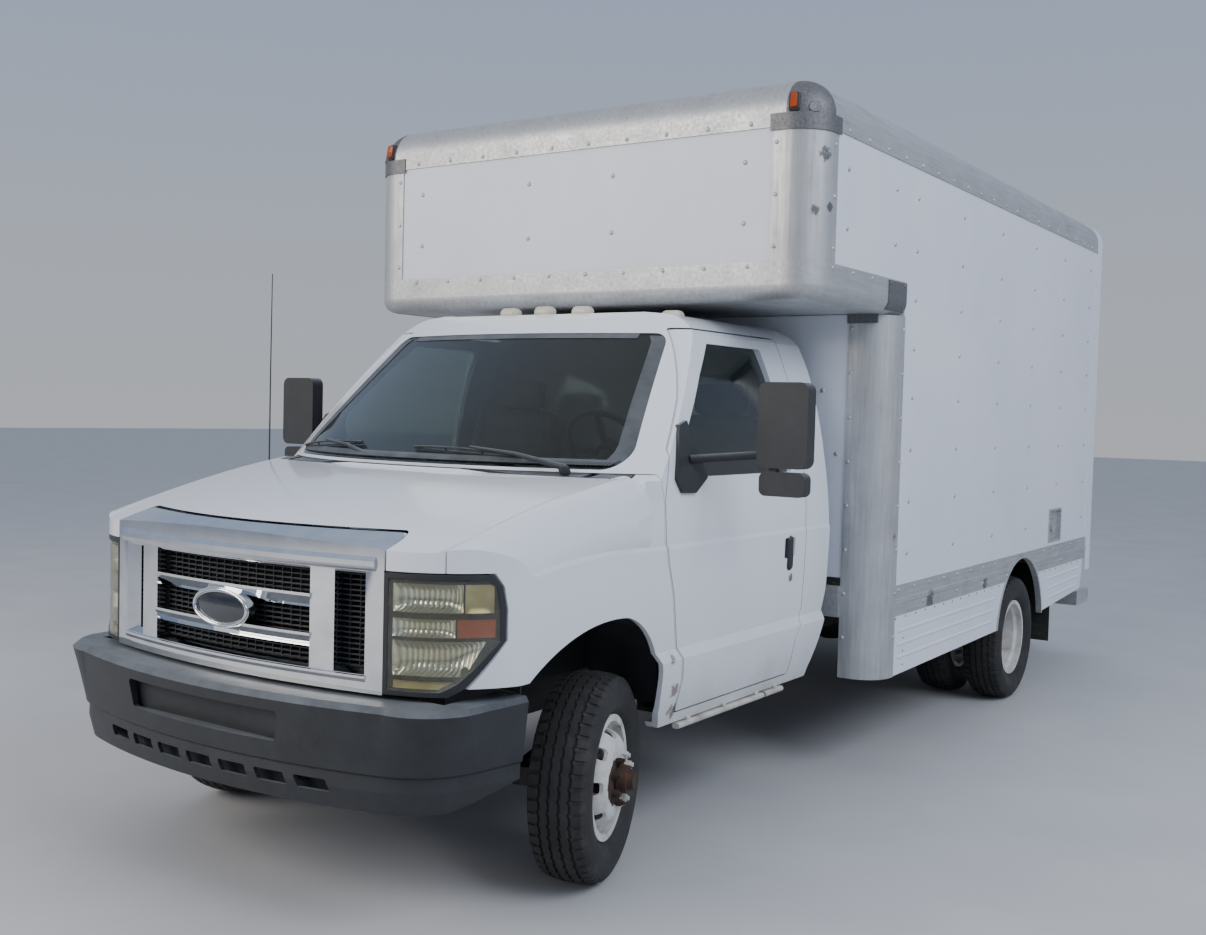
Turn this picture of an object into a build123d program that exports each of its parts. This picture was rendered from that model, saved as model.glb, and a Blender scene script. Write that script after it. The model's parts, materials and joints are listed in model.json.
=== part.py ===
from build123d import *
import math
import os

# Box truck on a cutaway van chassis, millimetres.
# Everything is drawn with x = 0 on the middle plane (+x is the driver's side), y = 0 under the
# hood's rear half (+y is rearward) and z = 0 on the ground, and each piece is moved by middle_y
# as it is saved, so that the origin is the bottom centre of the whole truck.

os.makedirs("parts", exist_ok=True)

# Overall reach and wheels
wheelbase = 4013
front_axle_y = -45
rear_axle_y = front_axle_y + wheelbase
front_reach = 1020
rear_reach = 5800
middle_y = (rear_reach - front_reach) / 2
tyre_radius = 365
tyre_width = 222
rim_radius = 203
rim_flange_radius = 219
rim_width = 168
rim_wall = 7
hand_hole_radius = 156
front_tyre_x = 881
rear_outer_tyre_x = 1090
rear_inner_tyre_x = 784
kingpin_x = 778
steer_at_rest = 17.5
running_gap = 0.5
spindle_radius = 20
wheel_offset = 118

# Gaps between panels
door_gap = 7
panel_gap = 6
seat_gap = 0.3

# Cab
cab_half_width = 1008
cab_floor_z = 672
cab_wall = 45
panel_wall = 20
cab_back_y = 1690
cab_roof_z = 2085
firewall_y = 296
firewall_half_width = 930
driver_x = 570
seat_width = 500
belt_z = 1172
sill_z = 480
cowl_z = 1428
cowl_top_z = 1420
hood_hinge_x = 775
hood_hinge_y = 130
hood_hinge_z = 1400
grille_half_width = 666
header_top_z = 1249
lamp_top_z = 1136
lamp_rear_y = -602
bumper_top_z = 742
bumper_bottom_z = 408
bumper_wall = 14
bumper_rear_y = -493
nose_corner_y = -822
nose_centre_y = -895

# Cargo box
box_half_width = 1219
box_wall = 36
box_front_y = 1787
box_end_y = 5560
box_roof_z = 3017
attic_front_y = 991
attic_bottom_z = 2118
attic_rail_top_z = 2273
attic_roll = 62
top_rail_bottom_z = 2812
corner_radius = 150
post_on_front = 205
post_on_side = 184
column_on_front = 199
column_on_side = 181
column_bottom_z = 447
deck_z = 800
deck_thickness = 38
wheel_box_inner_x = 640
flap_y = 4742
flap_bottom_z = 236
wheel_box_reach = 466
wheel_box_top_z = 905
wheel_box_wall = 12
bearer_height = 42
rub_rail_top_z = 871
rub_rail_bottom_z = 726
rail_proud = 6
skirt_wall = 30
rear_post_width = 115
rear_opening_half_width = 1080
rear_opening_top_z = 2740
rear_sill_z = 640
skirt_bottom_z = 462
arch_y = rear_axle_y + 7
arch_z = 400
arch_radius = 440
hitch_y = 5680
hitch_hole_radius = 14
filler_y0 = 4514
filler_y1 = 4789
filler_z0 = 893
filler_z1 = 1102
filler_depth = 24

# Chassis frame
frame_half_width = 432
frame_rail_height = 170
frame_rail_flange = 68
frame_rail_wall = 8
frame_top_z = 640
frame_front_y = -930
frame_rear_y = 5440
spring_x = 510
spring_width = 76
spring_reach = 640


def block(x0, x1, y0, y1, z0, z1):
    """A plain box between two corners."""
    shape = Box(x1 - x0, y1 - y0, z1 - z0)
    return Pos((x0 + x1) / 2, (y0 + y1) / 2, (z0 + z1) / 2) * shape


def across(points, x0, x1, radius=0):
    """Side outline of (y, z) points, drawn out across the truck."""
    corners = [(x0, y, z) for y, z in points]
    if radius:
        edge = FilletPolyline(*corners, radius=radius, close=True)
    else:
        edge = Polyline(*corners, close=True)
    return extrude(make_face(edge), amount=x1 - x0, dir=(1, 0, 0))


def along(points, y0, y1, radius=0):
    """Cross section of (x, z) points, drawn out along the truck."""
    corners = [(x, y0, z) for x, z in points]
    if radius:
        edge = FilletPolyline(*corners, radius=radius, close=True)
    else:
        edge = Polyline(*corners, close=True)
    return extrude(make_face(edge), amount=y1 - y0, dir=(0, 1, 0))


def upward(points, z0, z1, radius=0):
    """Plan outline of (x, y) points, drawn upward."""
    corners = [(x, y, z0) for x, y in points]
    if radius:
        edge = FilletPolyline(*corners, radius=radius, close=True)
    else:
        edge = Polyline(*corners, close=True)
    return extrude(make_face(edge), amount=z1 - z0, dir=(0, 0, 1))


def rod(start, end, radius):
    """A round bar from one point to another."""
    start = Vector(*start)
    end = Vector(*end)
    span = end - start
    plane = Plane(origin=start, z_dir=span)
    return extrude(plane * Circle(radius), amount=span.length)


def other_side(shape):
    return mirror(shape, about=Plane.YZ)


def both_sides(shape):
    return Compound(children=[shape, other_side(shape)])


def group(pieces):
    return Compound(children=list(pieces))


def save(name, shape):
    solids = [Pos(0, -middle_y, 0) * solid for solid in shape.solids()]
    export_step(Compound(solids), f"parts/{name}.step")


# Cab body, as one outer form and the same form one wall smaller

def cab_section(shrink):
    """Cross section of the cab from sill to roof, made smaller all round by shrink."""
    w = cab_half_width - shrink
    roof = cab_roof_z - shrink
    bottom = sill_z + shrink
    right = [
        Line((-w + 52, 0, bottom), (w - 52, 0, bottom)),
        ThreePointArc((w - 52, 0, bottom), (w - 12, 0, 620), (w + 4, 0, 735)),
        Line((w + 4, 0, 735), (w - 19, 0, 772)),
        ThreePointArc((w - 19, 0, 772), (w - 8, 0, 960), (w - 2, 0, belt_z - 22)),
        Line((w - 2, 0, belt_z - 22), (w - 8, 0, belt_z - 6)),
        ThreePointArc((w - 8, 0, belt_z - 6), (w - 66, 0, 1570), (w - 205, 0, 1970 - shrink)),
        ThreePointArc((w - 205, 0, 1970 - shrink), (w - 275, 0, roof - 58), (w - 392, 0, roof - 28)),
    ]
    left = [mirror(edge, about=Plane.YZ) for edge in right[1:]]
    crown = ThreePointArc((w - 392, 0, roof - 28), (0, 0, roof), (-w + 392, 0, roof - 28))
    return make_face(right + [crown] + left)


def windscreen_wedge(shrink):
    """What lies behind the windscreen's curved and raked surface."""
    sections = []
    for z, centre_y, edge_y in ((1300, -230, 300), (2150, 817, 1079)):
        centre = centre_y + 1.5 * shrink
        edge = edge_y + 1.3 * shrink
        outline = [
            ThreePointArc((-1100, edge, z), (0, centre, z), (1100, edge, z)),
            Line((1100, edge, z), (1100, 2000, z)),
            Line((1100, 2000, z), (-1100, 2000, z)),
            Line((-1100, 2000, z), (-1100, edge, z)),
        ]
        sections.append(make_face(outline))
    return loft(sections, ruled=True)


def nose_section(y, w, bottom, belt, bulge, shoulder, crown_z):
    """Cross section of hood and fenders, bulge and shoulder as (x, z)."""
    right = [
        ThreePointArc((w - 52, y, bottom), (w - 12, y, 620), (w + 4, y, 735)),
        Line((w + 4, y, 735), (w - 19, y, 772)),
        ThreePointArc((w - 19, y, 772), (w - 8, y, 960), (w - 2, y, belt - 22)),
        Line((w - 2, y, belt - 22), (w - 8, y, belt - 6)),
        ThreePointArc((w - 8, y, belt - 6), (bulge[0], y, bulge[1]), (shoulder[0], y, shoulder[1])),
    ]
    left = [mirror(edge, about=Plane.YZ) for edge in right]
    crown = ThreePointArc(
        (shoulder[0], y, shoulder[1]), (0, y, crown_z), (-shoulder[0], y, shoulder[1])
    )
    base = Line((-w + 52, y, bottom), (w - 52, y, bottom))
    return make_face([base] + right + [crown] + left)


def nose_form(shrink):
    """Hood and fenders as one lofted form, rounded at the front corners in plan."""
    w = cab_half_width - shrink
    s = shrink
    stations = (
        # y, belt z, bulge (x, z), shoulder (x, z), crown z
        (-900, 1062, (w - 62, 1128 - s), (w - 205, 1160 - s), 1226 - s),
        (-480, 1148 - 0.3 * s, (w - 52, 1243 - s), (w - 150, 1286 - s), 1342 - s),
        (160, belt_z, (w - 52, 1384 - s), (w - 110, 1416 - s), cowl_z + 8 - s),
    )
    body = loft([nose_section(y, w, sill_z + s, belt, b, sh, c) for y, belt, b, sh, c in stations])
    corner_y = nose_corner_y + s
    centre_y = nose_centre_y + s
    side_x = w + 6
    plan = [
        ThreePointArc((690, corner_y, 400), (0, centre_y, 400), (-690, corner_y, 400)),
        ThreePointArc((690, corner_y, 400), (w - 112, corner_y + 118, 400), (side_x, corner_y + 372, 400)),
        ThreePointArc((-690, corner_y, 400), (-w + 112, corner_y + 118, 400), (-side_x, corner_y + 372, 400)),
        Line((side_x, corner_y + 372, 400), (side_x, 160, 400)),
        Line((side_x, 160, 400), (-side_x, 160, 400)),
        Line((-side_x, 160, 400), (-side_x, corner_y + 372, 400)),
    ]
    return body & extrude(make_face(plan), amount=1300, dir=(0, 0, 1))


def cab_form(shrink):
    """Whole cab body: nose, lower cab and greenhouse."""
    s = shrink
    side = [
        (-100, 400), (-100, 1900), (620, 1990 - s), (700, 2032 - s), (790, cab_roof_z - 22 - s),
        (960, cab_roof_z - 9 - s), (cab_back_y - 20, cab_roof_z - s), (cab_back_y + 20 - s, cab_roof_z - 50),
        (cab_back_y + 35 - s, 1852), (cab_back_y - s, 1480), (cab_back_y - 10 - s, 863),
        (cab_back_y - 50 - s, 724), (cab_back_y - 124 - s, 520), (cab_back_y - 124 - s, 400),
    ]
    section = extrude(Pos(0, -150, 0) * cab_section(shrink), amount=1950, dir=(0, 1, 0))
    body = section & across(side, -1100, 1100)
    greenhouse = body & windscreen_wedge(shrink) & block(-1100, 1100, -150, 1800, 1400 - s, 2200)
    lower = body & block(-1100, 1100, 160, 1800, 400, 1401 - s)
    return nose_form(shrink) + lower + greenhouse


cab_outer = cab_form(0)
cab_mid = cab_form(panel_wall)
cab_inner = cab_form(cab_wall)
cab_skin = cab_outer - cab_inner

# Door outline on the driver's side, (y, z)
door_points = [
    (742, 1985), (517, 1698), (359, 1511), (290, 1331), (282, 1183), (298, 1102), (345, 978),
    (388, 793), (406, 736), (420, 653), (414, 576), (410, 528), (1353, 528), (1356, 676),
    (1436, 800), (1436, 1138), (1449, 1254), (1478, 1812), (1482, 1985),
]
window_points = [
    (838, 1932), (700, 1800), (520, 1600), (512, 1560), (590, 1408), (1335, 1408), (1306, 1800),
    (1296, 1932),
]


def offset_prism(points, amount, x0, x1, radius=12):
    """Side outline grown by amount all round, as a prism across one side."""
    corners = [(x0, y, z) for y, z in points]
    face = make_face(FilletPolyline(*corners, radius=radius, close=True))
    grown = offset(face, amount, kind=Kind.INTERSECTION) if amount else face
    return extrude(grown, amount=x1 - x0, dir=(1, 0, 0))


door_opening = offset_prism(door_points, door_gap, 600, 1100)


def door():
    """Driver's door: outer skin full size, inner box stepped in all round."""
    outer = (cab_outer - cab_mid) & offset_prism(door_points, 0, 600, 1100)
    inner = (cab_mid - cab_inner) & offset_prism(door_points, -22, 600, 1100)
    leaf = outer + inner
    recess = fillet(block(cab_half_width - 20, 1100, 1236, 1334, 1040, 1128).edges().filter_by(Axis.X), 12)
    return leaf - offset_prism(window_points, 0, 600, 1100) - recess


def door_glass():
    """Side window, a thin curved pane in the middle of the door's wall."""
    pane_zone = cab_mid - cab_form(panel_wall + 6)
    return pane_zone & offset_prism(window_points, -seat_gap, 600, 1100)


def hood_plan(grow):
    """Hood's plan outline as a prism, grown by grow."""
    front_x = 836 + grow
    rear_x = 864 + grow
    rear_y = 96 + grow
    centre_y = -72 + grow
    bottom = lamp_top_z + panel_gap - grow
    edges = [
        Line((front_x, -1000, bottom), (rear_x, rear_y, bottom)),
        ThreePointArc((rear_x, rear_y, bottom), (0, centre_y, bottom), (-rear_x, rear_y, bottom)),
        Line((-rear_x, rear_y, bottom), (-front_x, -1000, bottom)),
        Line((-front_x, -1000, bottom), (front_x, -1000, bottom)),
    ]
    return extrude(make_face(edges), amount=500, dir=(0, 0, 1))


def front_zone(grow=0):
    """What belongs to hood, fenders and cowl, seen from the side."""
    points = [
        (-1100, 380), (-1100, cowl_top_z), (268, cowl_top_z), (276, 1331), (268, 1183), (284, 1102),
        (331, 978), (374, 793), (392, 736), (406, 653), (400, 576), (396, 380),
    ]
    face = make_face(Polyline(*[(-1100, y, z) for y, z in points], close=True))
    grown = offset(face, grow, kind=Kind.INTERSECTION) if grow else face
    return extrude(grown, amount=2200, dir=(1, 0, 0))


def header_zone(grow):
    """Front outline of header and grille, both upper corners rounded."""
    half = grille_half_width + grow
    top = header_top_z + grow
    corner = 45 + grow
    bend = corner * (1 - math.sqrt(0.5))
    edges = [
        Line((-half, -1100, 380), (half, -1100, 380)),
        Line((half, -1100, 380), (half, -1100, top - corner)),
        ThreePointArc((half, -1100, top - corner), (half - bend, -1100, top - bend), (half - corner, -1100, top)),
        Line((half - corner, -1100, top), (corner - half, -1100, top)),
        ThreePointArc((corner - half, -1100, top), (bend - half, -1100, top - bend), (-half, -1100, top - corner)),
        Line((-half, -1100, top - corner), (-half, -1100, 380)),
    ]
    return extrude(make_face(edges), amount=500, dir=(0, 1, 0))


def lamp_side(grow):
    """Headlamp's side outline as a prism, both sides."""
    points = [
        (-1100, 760 - grow), (-1100, lamp_top_z + grow), (-640 + grow, lamp_top_z + grow),
        (-614 + grow, 1100), (lamp_rear_y + grow, 1028), (lamp_rear_y + grow, 932),
        (-705 + grow, 788 - grow),
        (-740 + grow, 760 - grow),
    ]
    return across(points, -1100, 1100)


def arch_cut():
    """Front wheel arch, both sides."""
    edges = [
        ThreePointArc((0, -505, 786), (0, -235, 910), (0, 45, 929)),
        ThreePointArc((0, 45, 929), (0, 190, 845), (0, 268, 702)),
        Line((0, 268, 702), (0, 276, 620)),
        Line((0, 276, 620), (0, 291, 540)),
        Line((0, 291, 540), (0, 324, sill_z)),
        Line((0, 324, sill_z), (0, 324, 380)),
        Line((0, 324, 380), (0, -1200, 380)),
        Line((0, -1200, 380), (0, -1200, 786)),
        Line((0, -1200, 786), (0, -505, 786)),
    ]
    face = Pos(-1100, 0, 0) * make_face(edges)
    return extrude(face, amount=2200, dir=(1, 0, 0))


front_clip = (cab_outer - cab_mid) & front_zone()


def hood():
    leaf = (front_clip & hood_plan(0)) - header_zone(panel_gap)
    lug = block(hood_hinge_x - 9, hood_hinge_x + 9, 30, hood_hinge_y + 9, hood_hinge_z - 26, hood_hinge_z - 2)
    pin = Pos(hood_hinge_x, hood_hinge_y, hood_hinge_z) * Rot(0, 90, 0) * Cylinder(7, 56)
    arm = lug + pin
    return Part() + [leaf, arm, other_side(arm)]


def fenders():
    body = front_clip - hood_plan(panel_gap) - arch_cut() - lamp_side(panel_gap) - header_zone(seat_gap)
    side = body & block(600, 1100, -1000, 500, 400, 1500)
    side = side - cowl_zone(panel_gap) - block(500, 905, 100, 500, 400, 560)
    bracket = block(firewall_half_width + seat_gap, cab_half_width - 25, 298, 314, 890, 950)
    lamp_bracket = nose_form(8) & block(930, 1010, lamp_rear_y + seat_gap, -572, 950, 1010)
    return both_sides(side + bracket + lamp_bracket)


def cowl_zone(grow):
    """Plan area between hood and windscreen."""
    edges = [
        ThreePointArc((-868, 107 - grow, 1150), (0, -61 - grow, 1150), (868, 107 - grow, 1150)),
        Line((868, 107 - grow, 1150), (900 + grow, 262, 1150)),
        Line((900 + grow, 262, 1150), (-900 - grow, 262, 1150)),
        Line((-900 - grow, 262, 1150), (-868, 107 - grow, 1150)),
    ]
    return extrude(make_face(edges), amount=cowl_top_z - 1150, dir=(0, 0, 1))


def cowl_panel():
    """Cowl between hood and windscreen, with two ears under it for each hood hinge pin."""
    slot = block(hood_hinge_x - 15, hood_hinge_x + 15, 0, hood_hinge_y + 18, 1200, 1500)
    bore = Pos(hood_hinge_x, hood_hinge_y, hood_hinge_z) * Rot(0, 90, 0) * Cylinder(7 + running_gap, 80)
    room = slot + bore
    ears = [
        block(
            hood_hinge_x + x - 6, hood_hinge_x + x + 6, hood_hinge_y - 16, hood_hinge_y + 16,
            hood_hinge_z - 16, hood_hinge_z + 6,
        ) for x in (-23, 23)
    ]
    foot = block(695, 735, 105, 130, 1290, 1402) + block(695, 735, 105, firewall_y - seat_gap, 1290, 1335)
    left = ears + [foot]
    panel = (front_clip & cowl_zone(0)) + left + [other_side(piece) for piece in left]
    return panel - room - other_side(room)


def windscreen_zone(grow):
    """Windscreen opening seen from the front, both corners rounded."""
    points = [(-872, 1434), (872, 1434), (714, 1968), (-714, 1968)]
    corners = [(x, -400, z) for x, z in points]
    face = make_face(FilletPolyline(*corners, radius=70, close=True))
    grown = offset(face, grow) if grow else face
    return extrude(grown, amount=1300, dir=(0, 1, 0)) & block(-1000, 1000, -400, 900, 1400, 2000)


def cab_shell():
    shell = cab_skin - front_zone(panel_gap / 2) - door_opening - other_side(door_opening)
    shell = shell - block(-905, 905, -1000, 1800, 400, cab_floor_z - 20) - hood_plan(14)
    striker = block(970, 996, 1436.9, 1452, 1060, 1100)
    return (shell - (windscreen_zone(0) & windscreen_band())) + striker + other_side(striker)


def windscreen_band():
    """Only the front surface of the greenhouse."""
    return windscreen_wedge(-20) - windscreen_wedge(cab_wall + 40)


def windshield():
    pane = (windscreen_wedge(4) - windscreen_wedge(10)) & cab_form(0)
    return pane & windscreen_zone(-seat_gap)


def wheel_liners():
    """Dark closed arch over each front wheel: a bent sheet and its inner wall."""
    outside = [
        (-506, 752), (-496, 800), (-430, 880), (-300, 935), (-110, 962), (80, 950), (210, 880),
        (286, 790), (318, 700), (345, 600), (358, 570),
    ]
    inside = [(y + (5 if y < -110 else -5 if y > -110 else 0), z - 6) for y, z in outside]
    sheet = across(outside + inside[::-1], 634, 952)
    inner_wall = across(outside[:-2] + [(318, 665), (-505, 665)], 634, 640)
    tabs = group([block(948, cab_half_width, y - 20, y + 20, 950, 956) for y in (-110, 60)])
    tabs = tabs & cab_form(panel_wall + seat_gap)
    return both_sides(sheet + inner_wall + tabs.solids())


# Cargo box

def rounded_plan(x_half, y_front, y_rear, radius, z0, z1):
    """Plan of the box with two round front corners."""
    bend = radius * (1 - math.sqrt(0.5))
    edges = [
        Line((x_half, y_rear, z0), (x_half, y_front + radius, z0)),
        ThreePointArc(
            (x_half, y_front + radius, z0), (x_half - bend, y_front + bend, z0), (x_half - radius, y_front, z0)
        ),
        Line((x_half - radius, y_front, z0), (-x_half + radius, y_front, z0)),
        ThreePointArc(
            (-x_half + radius, y_front, z0), (-x_half + bend, y_front + bend, z0), (-x_half, y_front + radius, z0)
        ),
        Line((-x_half, y_front + radius, z0), (-x_half, y_rear, z0)),
        Line((-x_half, y_rear, z0), (x_half, y_rear, z0)),
    ]
    return extrude(make_face(edges), amount=z1 - z0, dir=(0, 0, 1))


def rounded_tube(y_front, y_rear, z0, z1, wall, inset=0):
    outer = rounded_plan(box_half_width - inset, y_front + inset, y_rear, corner_radius - inset, z0, z1)
    inner = rounded_plan(box_half_width - wall, y_front + wall, y_rear + 10, corner_radius - wall, z0 - 1, z1 + 1)
    return outer - inner


def box_side_walls():
    panel_x = box_half_width - rail_proud
    main = block(
        panel_x - box_wall + rail_proud, panel_x, box_front_y + column_on_side + seat_gap,
        box_end_y - rear_post_width - seat_gap, rub_rail_top_z + seat_gap, top_rail_bottom_z - seat_gap,
    )
    attic = block(
        panel_x - box_wall + rail_proud, panel_x, attic_front_y + post_on_side + seat_gap,
        box_front_y + column_on_side + 1, attic_rail_top_z + seat_gap, top_rail_bottom_z - seat_gap,
    )
    left = main + attic
    x = panel_x - filler_depth
    pocket = block(x, panel_x + 1, filler_y0, filler_y1, filler_z0, filler_z1)
    return group([left - pocket, other_side(left)])


def box_front_walls():
    inset = rail_proud
    lower = block(
        -box_half_width + column_on_front + seat_gap, box_half_width - column_on_front - seat_gap,
        box_front_y + inset, box_front_y + box_wall, deck_z - deck_thickness, attic_bottom_z - seat_gap,
    )
    upper = block(
        -box_half_width + post_on_front + seat_gap, box_half_width - post_on_front - seat_gap,
        attic_front_y + inset, attic_front_y + box_wall, attic_rail_top_z + seat_gap,
        top_rail_bottom_z - seat_gap,
    )
    return group([lower, upper])


def attic_posts():
    """Round corner posts of the attic, between its lower and upper rails."""
    ring = rounded_tube(
        attic_front_y, attic_front_y + post_on_side, attic_rail_top_z + seat_gap, top_rail_bottom_z - seat_gap,
        box_wall,
    )
    side = ring & block(
        box_half_width - post_on_front, box_half_width, attic_front_y, attic_front_y + post_on_side,
        attic_rail_top_z, top_rail_bottom_z,
    )
    return both_sides(side)


def front_columns():
    ring = rounded_tube(
        box_front_y, box_front_y + column_on_side, column_bottom_z, attic_bottom_z - seat_gap, box_wall
    )
    side = ring & block(
        box_half_width - column_on_front, box_half_width, box_front_y, box_front_y + column_on_side,
        column_bottom_z, attic_bottom_z,
    )
    return both_sides(side)


def attic_rails():
    """Lower rail round the attic, rolled under at its foot, to the column on each side."""
    rear = box_front_y + column_on_side
    body = rounded_plan(box_half_width, attic_front_y, rear, corner_radius, attic_bottom_z, attic_rail_top_z)
    feet = body.edges().filter_by_position(Axis.Z, attic_bottom_z - 1, attic_bottom_z + 1)
    body = fillet([edge for edge in feet if edge.center().Y < rear - 1], attic_roll)
    wide = box_half_width - box_wall
    room = rounded_plan(
        wide, attic_front_y + box_wall, rear + 10, corner_radius - box_wall, attic_bottom_z + attic_roll,
        attic_rail_top_z + 1,
    )
    ledge = box_half_width - attic_roll - 8
    hole = rounded_plan(
        ledge, attic_front_y + attic_roll + 8, rear + 10, corner_radius - attic_roll - 8, attic_bottom_z - 1,
        attic_bottom_z + attic_roll + 1,
    )
    return body - room - hole


def top_rail_form():
    """Upper part of the box, rounded along its top edges."""
    body = rounded_plan(
        box_half_width, attic_front_y, box_end_y - rear_post_width, corner_radius, top_rail_bottom_z, box_roof_z
    )
    top_edges = body.edges().filter_by_position(Axis.Z, box_roof_z - 1, box_roof_z + 1)
    rounded = [e for e in top_edges if e.center().Y < box_end_y - rear_post_width - 1]
    return fillet(rounded, corner_radius - 1)


def top_rails():
    body = top_rail_form()
    room = block(
        -box_half_width + corner_radius, box_half_width - corner_radius,
        attic_front_y + corner_radius, box_end_y, top_rail_bottom_z - 1, box_roof_z + 1,
    )
    hollow = block(
        -box_half_width + box_wall, box_half_width - box_wall,
        attic_front_y + box_wall, box_end_y, top_rail_bottom_z - 1, box_roof_z - corner_radius + 20,
    )
    return body - room - hollow


def box_roof():
    return block(
        -box_half_width + corner_radius, box_half_width - corner_radius,
        attic_front_y + corner_radius, box_end_y - rear_post_width, box_roof_z - 30, box_roof_z - 3,
    )


def box_deck():
    """Floor boards, with a raised box over each pair of rear wheels."""
    half = box_half_width - box_wall - seat_gap
    front = box_front_y + box_wall + seat_gap
    rear = box_end_y - rear_post_width - seat_gap
    bottom = deck_z - deck_thickness
    deck = rounded_plan(half, front, rear, corner_radius - box_wall, bottom, deck_z)
    x0, x1, y0, y1 = wheel_box_inner_x, half, arch_y - wheel_box_reach, arch_y + wheel_box_reach
    cover = block(x0, x1, y0, y1, bottom, wheel_box_top_z)
    room = block(
        x0 + wheel_box_wall, x1 + 1, y0 + wheel_box_wall, y1 - wheel_box_wall, bottom - 1,
        wheel_box_top_z - wheel_box_wall,
    )
    deck = deck + cover + other_side(cover)
    return deck - room - other_side(room)


def attic_floor():
    """Floor of the attic, let in between the rolled rails."""
    inset = attic_roll + 8 + seat_gap
    return rounded_plan(
        box_half_width - inset, attic_front_y + inset, box_front_y - seat_gap, corner_radius - inset,
        attic_bottom_z + 2, attic_bottom_z + 32,
    )


def corner_castings():
    """Plates wrapped round the attic's two upper corners, over post and top rail."""
    outer = rounded_plan(
        box_half_width + 5, attic_front_y - 5, attic_front_y + post_on_side + 20, corner_radius + 5, 2796, 2864
    )
    inner = rounded_plan(
        box_half_width + seat_gap, attic_front_y - seat_gap, attic_front_y + post_on_side + 30,
        corner_radius + seat_gap, 2795, 2865,
    )
    side = block(box_half_width - post_on_front - 12, 1300, 900, 1300, 2700, 2900)
    return both_sides((outer - inner) & side)


def box_bearers():
    """Cross bearers under the deck, joined by the two long sills on the frame."""
    top = deck_z - deck_thickness - seat_gap
    bottom = top - bearer_height
    pieces = []
    count = 12
    first = box_front_y + column_on_side + 30
    last = box_end_y - rear_post_width - 70
    for i in range(count):
        y = first + (last - first) * i / (count - 1)
        pieces.append(block(-box_half_width + box_wall, box_half_width - box_wall, y - 25, y + 25, bottom, top))
    wells = block(
        wheel_box_inner_x, 1300, arch_y - wheel_box_reach, arch_y + wheel_box_reach, bottom - 1, top + 1
    )
    for side in (-1, 1):
        x0 = side * (frame_half_width - 48)
        x1 = side * frame_half_width
        pieces.append(block(
            min(x0, x1), max(x0, x1), box_front_y, box_end_y - rear_post_width - seat_gap,
            frame_top_z + seat_gap, bottom,
        ))
    return (Part() + pieces) - wells - other_side(wells)


def frame_rails():
    """Two channel rails and their cross members."""
    bottom = frame_top_z - frame_rail_height
    rail = block(
        frame_half_width - frame_rail_flange, frame_half_width, frame_front_y, frame_rear_y, bottom, frame_top_z
    )
    rail = rail - block(
        frame_half_width - frame_rail_flange - 1, frame_half_width - frame_rail_wall,
        frame_front_y - 1, frame_rear_y + 1, bottom + frame_rail_wall, frame_top_z - frame_rail_wall,
    )
    pieces = [rail, other_side(rail)]
    for y in (-780, 1500, 2700, 3380, 4460, 5400):
        pieces.append(block(
            -frame_half_width + frame_rail_wall, frame_half_width - frame_rail_wall,
            y - 30, y + 30, bottom + 70, bottom + 140,
        ))
    return Part() + pieces


# Wheels, drawn with the axle along x, outer face towards +x, at the origin

def tyre():
    half = tyre_width / 2
    bead = rim_width / 2 - rim_wall - seat_gap
    seat = rim_radius + seat_gap
    lip = rim_flange_radius + 2
    edges = [
        Line((-bead, 0, seat), (bead, 0, seat)),
        Line((bead, 0, seat), (bead, 0, lip)),
        ThreePointArc((bead, 0, lip), (half, 0, 292), (half - 20, 0, tyre_radius - 14)),
        ThreePointArc((half - 20, 0, tyre_radius - 14), (0, 0, tyre_radius), (-half + 20, 0, tyre_radius - 14)),
        ThreePointArc((-half + 20, 0, tyre_radius - 14), (-half, 0, 292), (-bead, 0, lip)),
        Line((-bead, 0, lip), (-bead, 0, seat)),
    ]
    return revolve(make_face(edges), axis=Axis.X)


def wheel_barrel():
    """Drop-centre barrel of the steel wheel."""
    half = rim_width / 2
    outline = [
        (-half, rim_flange_radius), (-half + rim_wall, rim_flange_radius), (-half + rim_wall, rim_radius),
        (-50, rim_radius), (-35, rim_radius - 14), (35, rim_radius - 14), (50, rim_radius),
        (half - rim_wall, rim_radius), (half - rim_wall, rim_flange_radius), (half, rim_flange_radius),
        (half, rim_radius - rim_wall), (53, rim_radius - rim_wall), (38, rim_radius - 14 - rim_wall),
        (-38, rim_radius - 14 - rim_wall), (-53, rim_radius - rim_wall), (-half, rim_radius - rim_wall),
    ]
    return revolve(make_face(Polyline(*[(x, 0, r) for x, r in outline], close=True)), axis=Axis.X)


def wheel_disc(offset):
    """Bowl-shaped disc, its mounting face at offset from the wheel's middle plane, dished to +x."""
    inner = rim_radius - 14 - rim_wall
    edges = [
        Line((offset - 9, 0, 30), (offset, 0, 30)),
        Line((offset, 0, 30), (offset, 0, 110)),
        ThreePointArc((offset, 0, 110), (offset - 14, 0, 141), (offset - 50, 0, 164)),
        ThreePointArc((offset - 50, 0, 164), (offset - 66, 0, 171), (38, 0, inner + 2)),
        Line((38, 0, inner + 2), (20, 0, inner + 2)),
        ThreePointArc((20, 0, inner + 2), (offset - 70, 0, 163), (offset - 54, 0, 156)),
        ThreePointArc((offset - 54, 0, 156), (offset - 21, 0, 134), (offset - 9, 0, 108)),
        Line((offset - 9, 0, 108), (offset - 9, 0, 30)),
    ]
    disc = revolve(make_face(edges), axis=Axis.X)
    window = extrude(Plane.YZ * Pos(0, hand_hole_radius, 0) * RectangleRounded(46, 30, 13), amount=offset)
    holes = [Rot(a, 0, 0) * window for a in range(0, 360, 45)]
    return disc - holes


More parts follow.
